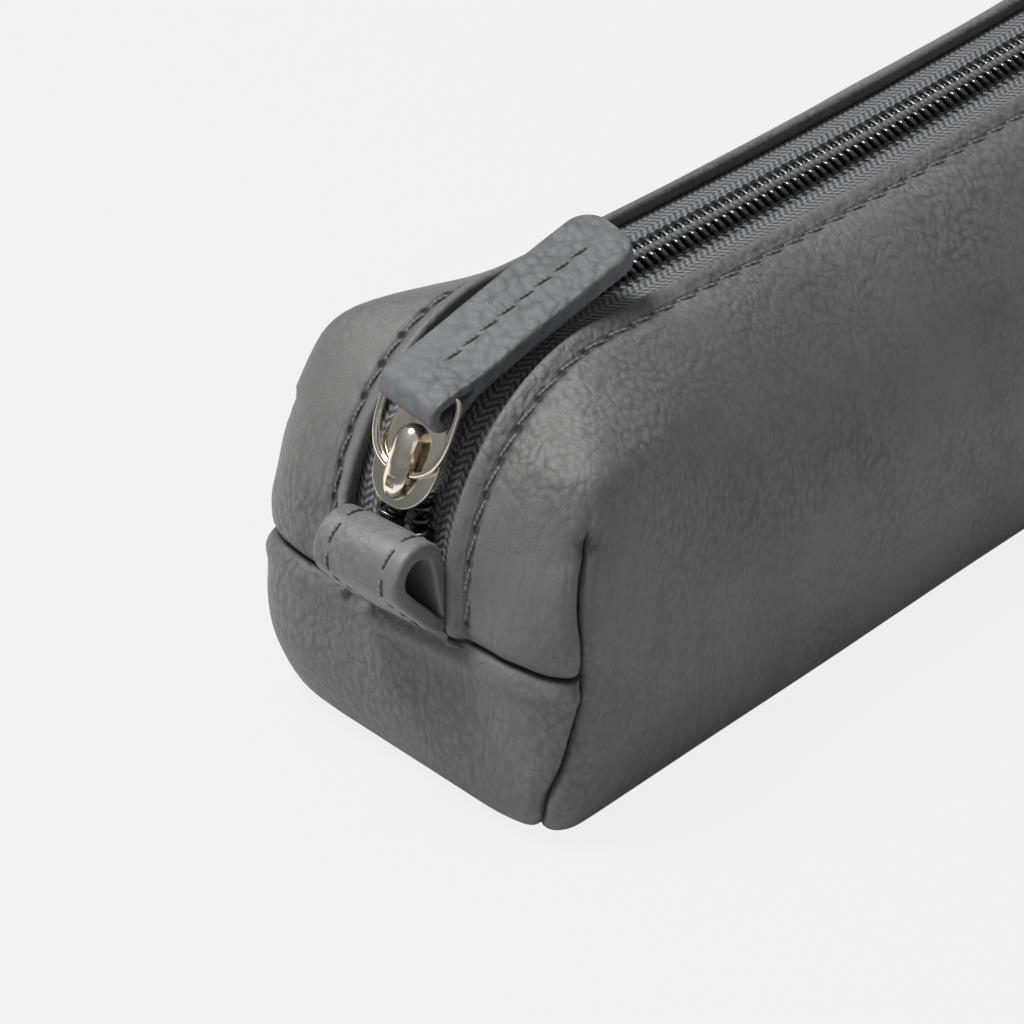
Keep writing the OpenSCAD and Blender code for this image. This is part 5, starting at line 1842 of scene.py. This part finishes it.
class MakePull(PieceOperator, bpy.types.Operator):
    """Makes the pull ring, the folded tab and its row of stitches"""

    bl_idname = "pencil_case.pull"
    bl_label = "Ring and tab"

    def execute(self, context):
        shape = Shape()
        set_piece(make_ring(shape), "ring", "nickel", "pull_ring")
        set_piece(make_tab(shape), "tab", "tab_leather", "pull_tab")
        set_piece(tab_stitch_row(shape), "tab", "thread", "tab_stitches")
        return {"FINISHED"}


class MakeLoop(PieceOperator, bpy.types.Operator):
    """Makes the end loop and its two rows of stitches"""

    bl_idname = "pencil_case.end_loop"
    bl_label = "End loop"

    def execute(self, context):
        shape = Shape()
        set_piece(make_loop(shape), "case", "loop_leather", "end_loop")
        set_piece(loop_stitch_rows(shape), "case", "thread", "loop_stitches")
        return {"FINISHED"}


class DressCarriedNodes(PieceOperator, bpy.types.Operator):
    """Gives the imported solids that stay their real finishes"""

    bl_idname = "pencil_case.carried_nodes"
    bl_label = "Lining and stops"

    def execute(self, context):
        for node, key in (("lining", "cloth"), ("bottom_stop", "coil"), ("top_stops", "nickel")):
            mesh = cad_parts[node].data
            mesh.materials.clear()
            mesh.materials.append(material_for(key))
        return {"FINISHED"}


class MakeStage(PieceOperator, bpy.types.Operator):
    """Makes the pale floor, the soft lights and the camera at the photograph's place"""

    bl_idname = "pencil_case.stage"
    bl_label = "Stage"

    def execute(self, context):
        scene = context.scene
        scene.view_settings.view_transform = "Standard"
        pale = tuple(sizes("finish").floor)
        # Floor: painted board, pale to the camera and plain to the light
        material, tree, bsdf = new_material("painted board", Roughness=0.9)
        bsdf.inputs["Base Color"].default_value = (*(c * 0.68 for c in pale), 1)
        tree.nodes.remove(tree.nodes["Material Output"])
        glow = add_node(tree, "ShaderNodeEmission", {"Color": (*pale, 1), "Strength": 0.975})
        ray = add_node(tree, "ShaderNodeLightPath").outputs["Is Camera Ray"]
        shown = calc(tree, "MULTIPLY", ray, 0.97)
        shade = add_node(
            tree, "ShaderNodeMixShader", links=[(shown, 0), (bsdf.outputs[0], 1), (glow.outputs[0], 2)]
        )
        add_node(tree, "ShaderNodeOutputMaterial", links=[(shade.outputs[0], "Surface")])
        corners = [(-3000, -3000, 0), (3000, -3000, 0), (3000, 3000, 0), (-3000, 3000, 0)]
        floor = new_object("floor", corners, [(0, 1, 2, 3)], material, False)
        world = bpy.data.worlds.new("studio")
        scene.world = world
        world.use_nodes = True
        tree = world.node_tree
        tree.nodes.clear()
        path = add_node(tree, "ShaderNodeLightPath")
        seen = calc(tree, "MAXIMUM", path.outputs["Is Camera Ray"], path.outputs["Is Transmission Ray"])
        # A dark room with a pale ceiling: the metal shows both
        direction = add_node(tree, "ShaderNodeTexCoord").outputs["Generated"]
        way = add_node(tree, "ShaderNodeSeparateXYZ", links=[(direction, 0)])
        upward = calc(tree, "ADD", calc(tree, "MULTIPLY", way.outputs[2], 0.5), 0.5)
        ceiling = ramp(tree, upward, [(0.55, 0.2), (0.85, 0.45)])
        fill = add_node(tree, "ShaderNodeBackground", {"Color": (0.97, 0.98, 1, 1)}, [(ceiling, "Strength")])
        back = add_node(tree, "ShaderNodeBackground", {"Color": (*pale, 1), "Strength": 1.0})
        mixed = add_node(
            tree, "ShaderNodeMixShader", links=[(seen, 0), (fill.outputs[0], 1), (back.outputs[0], 2)]
        )
        add_node(tree, "ShaderNodeOutputWorld", links=[(mixed.outputs[0], "Surface")])

        def lamp(name, place, target, width, height, power, tint=(1, 1, 1)):
            data = bpy.data.lights.new(name, "AREA")
            data.shape = "RECTANGLE"
            data.size, data.size_y = width, height
            data.energy, data.color = power, tint
            obj = bpy.data.objects.new(name, data)
            obj.location = place
            obj.rotation_euler = (Vector(target) - Vector(place)).to_track_quat("-Z", "Y").to_euler()
            scene.collection.objects.link(obj)

        lamp("key softbox", (-0.36, 0.25, 1.0), (-0.06, 0, 0.03), 0.32, 0.32, 20.0, (1, 0.99, 0.975))
        lamp("front softbox", (-0.75, -0.75, 0.55), (-0.05, 0, 0.03), 0.6, 0.5, 0.5, (0.97, 0.98, 1))
        camera = bpy.data.objects.new("camera", bpy.data.cameras.new("camera"))
        scene.collection.objects.link(camera)
        scene.camera = camera
        # Focal length in pixels, azimuth, elevation, roll, target and distance fitted to the photograph
        focal_px, az, el, roll = 4843.65, math.radians(-48.88), math.radians(32.45), math.radians(0.738)
        target, distance = Vector((-0.060, 0.018016, 0.009975)), 0.60103
        camera.data.sensor_width = SENSOR_MM
        camera.data.lens = focal_px / PHOTO_PX * SENSOR_MM
        back_way = Vector((math.sin(az) * math.cos(el), -math.cos(az) * math.cos(el), math.sin(el)))
        camera.location = target + back_way * distance
        camera.rotation_mode = "QUATERNION"
        rolled_by = Matrix.Rotation(roll, 3, "Z").to_quaternion()
        camera.rotation_quaternion = (-back_way).to_track_quat("-Z", "Y") @ rolled_by
        camera.data.clip_start, camera.data.clip_end = 0.01, 20
        return {"FINISHED"}


class PencilCasePanel(bpy.types.Panel):
    """Lists the steps that build the pencil case"""

    bl_idname = "VIEW3D_PT_pencil_case"
    bl_label = "Pencil case"
    bl_space_type = "VIEW_3D"
    bl_region_type = "UI"
    bl_category = "Pencil case"

    def draw(self, context):
        for step in STEPS:
            self.layout.operator(step.bl_idname)
        for name in GROUPS:
            box = self.layout.box()
            group = sizes(name)
            box.label(text=group.bl_rna.description)
            for key in group.__annotations__:
                box.prop(group, key)


GROUPS = {"body": CaseSizes, "zip": ZipSizes, "pull": PullSizes, "finish": Finishes}
STEPS = (
    MakeStage, MakeLeatherBody, MakeHemStitches, MakeZip, MakeSlider, MakePull, MakeLoop,
    DressCarriedNodes
)


def register():
    for item in (*GROUPS.values(), *STEPS, PencilCasePanel):
        bpy.utils.register_class(item)
    for name, group in GROUPS.items():
        setattr(bpy.types.Scene, "pencil_case_" + name, PointerProperty(type=group))


def unregister():
    for name in GROUPS:
        delattr(bpy.types.Scene, "pencil_case_" + name)
    for item in reversed((*GROUPS.values(), *STEPS, PencilCasePanel)):
        bpy.utils.unregister_class(item)


def main():
    register()
    for step in STEPS:
        group, name = step.bl_idname.split(".")
        getattr(getattr(bpy.ops, group), name)()


if __name__ == "__main__":
    main()
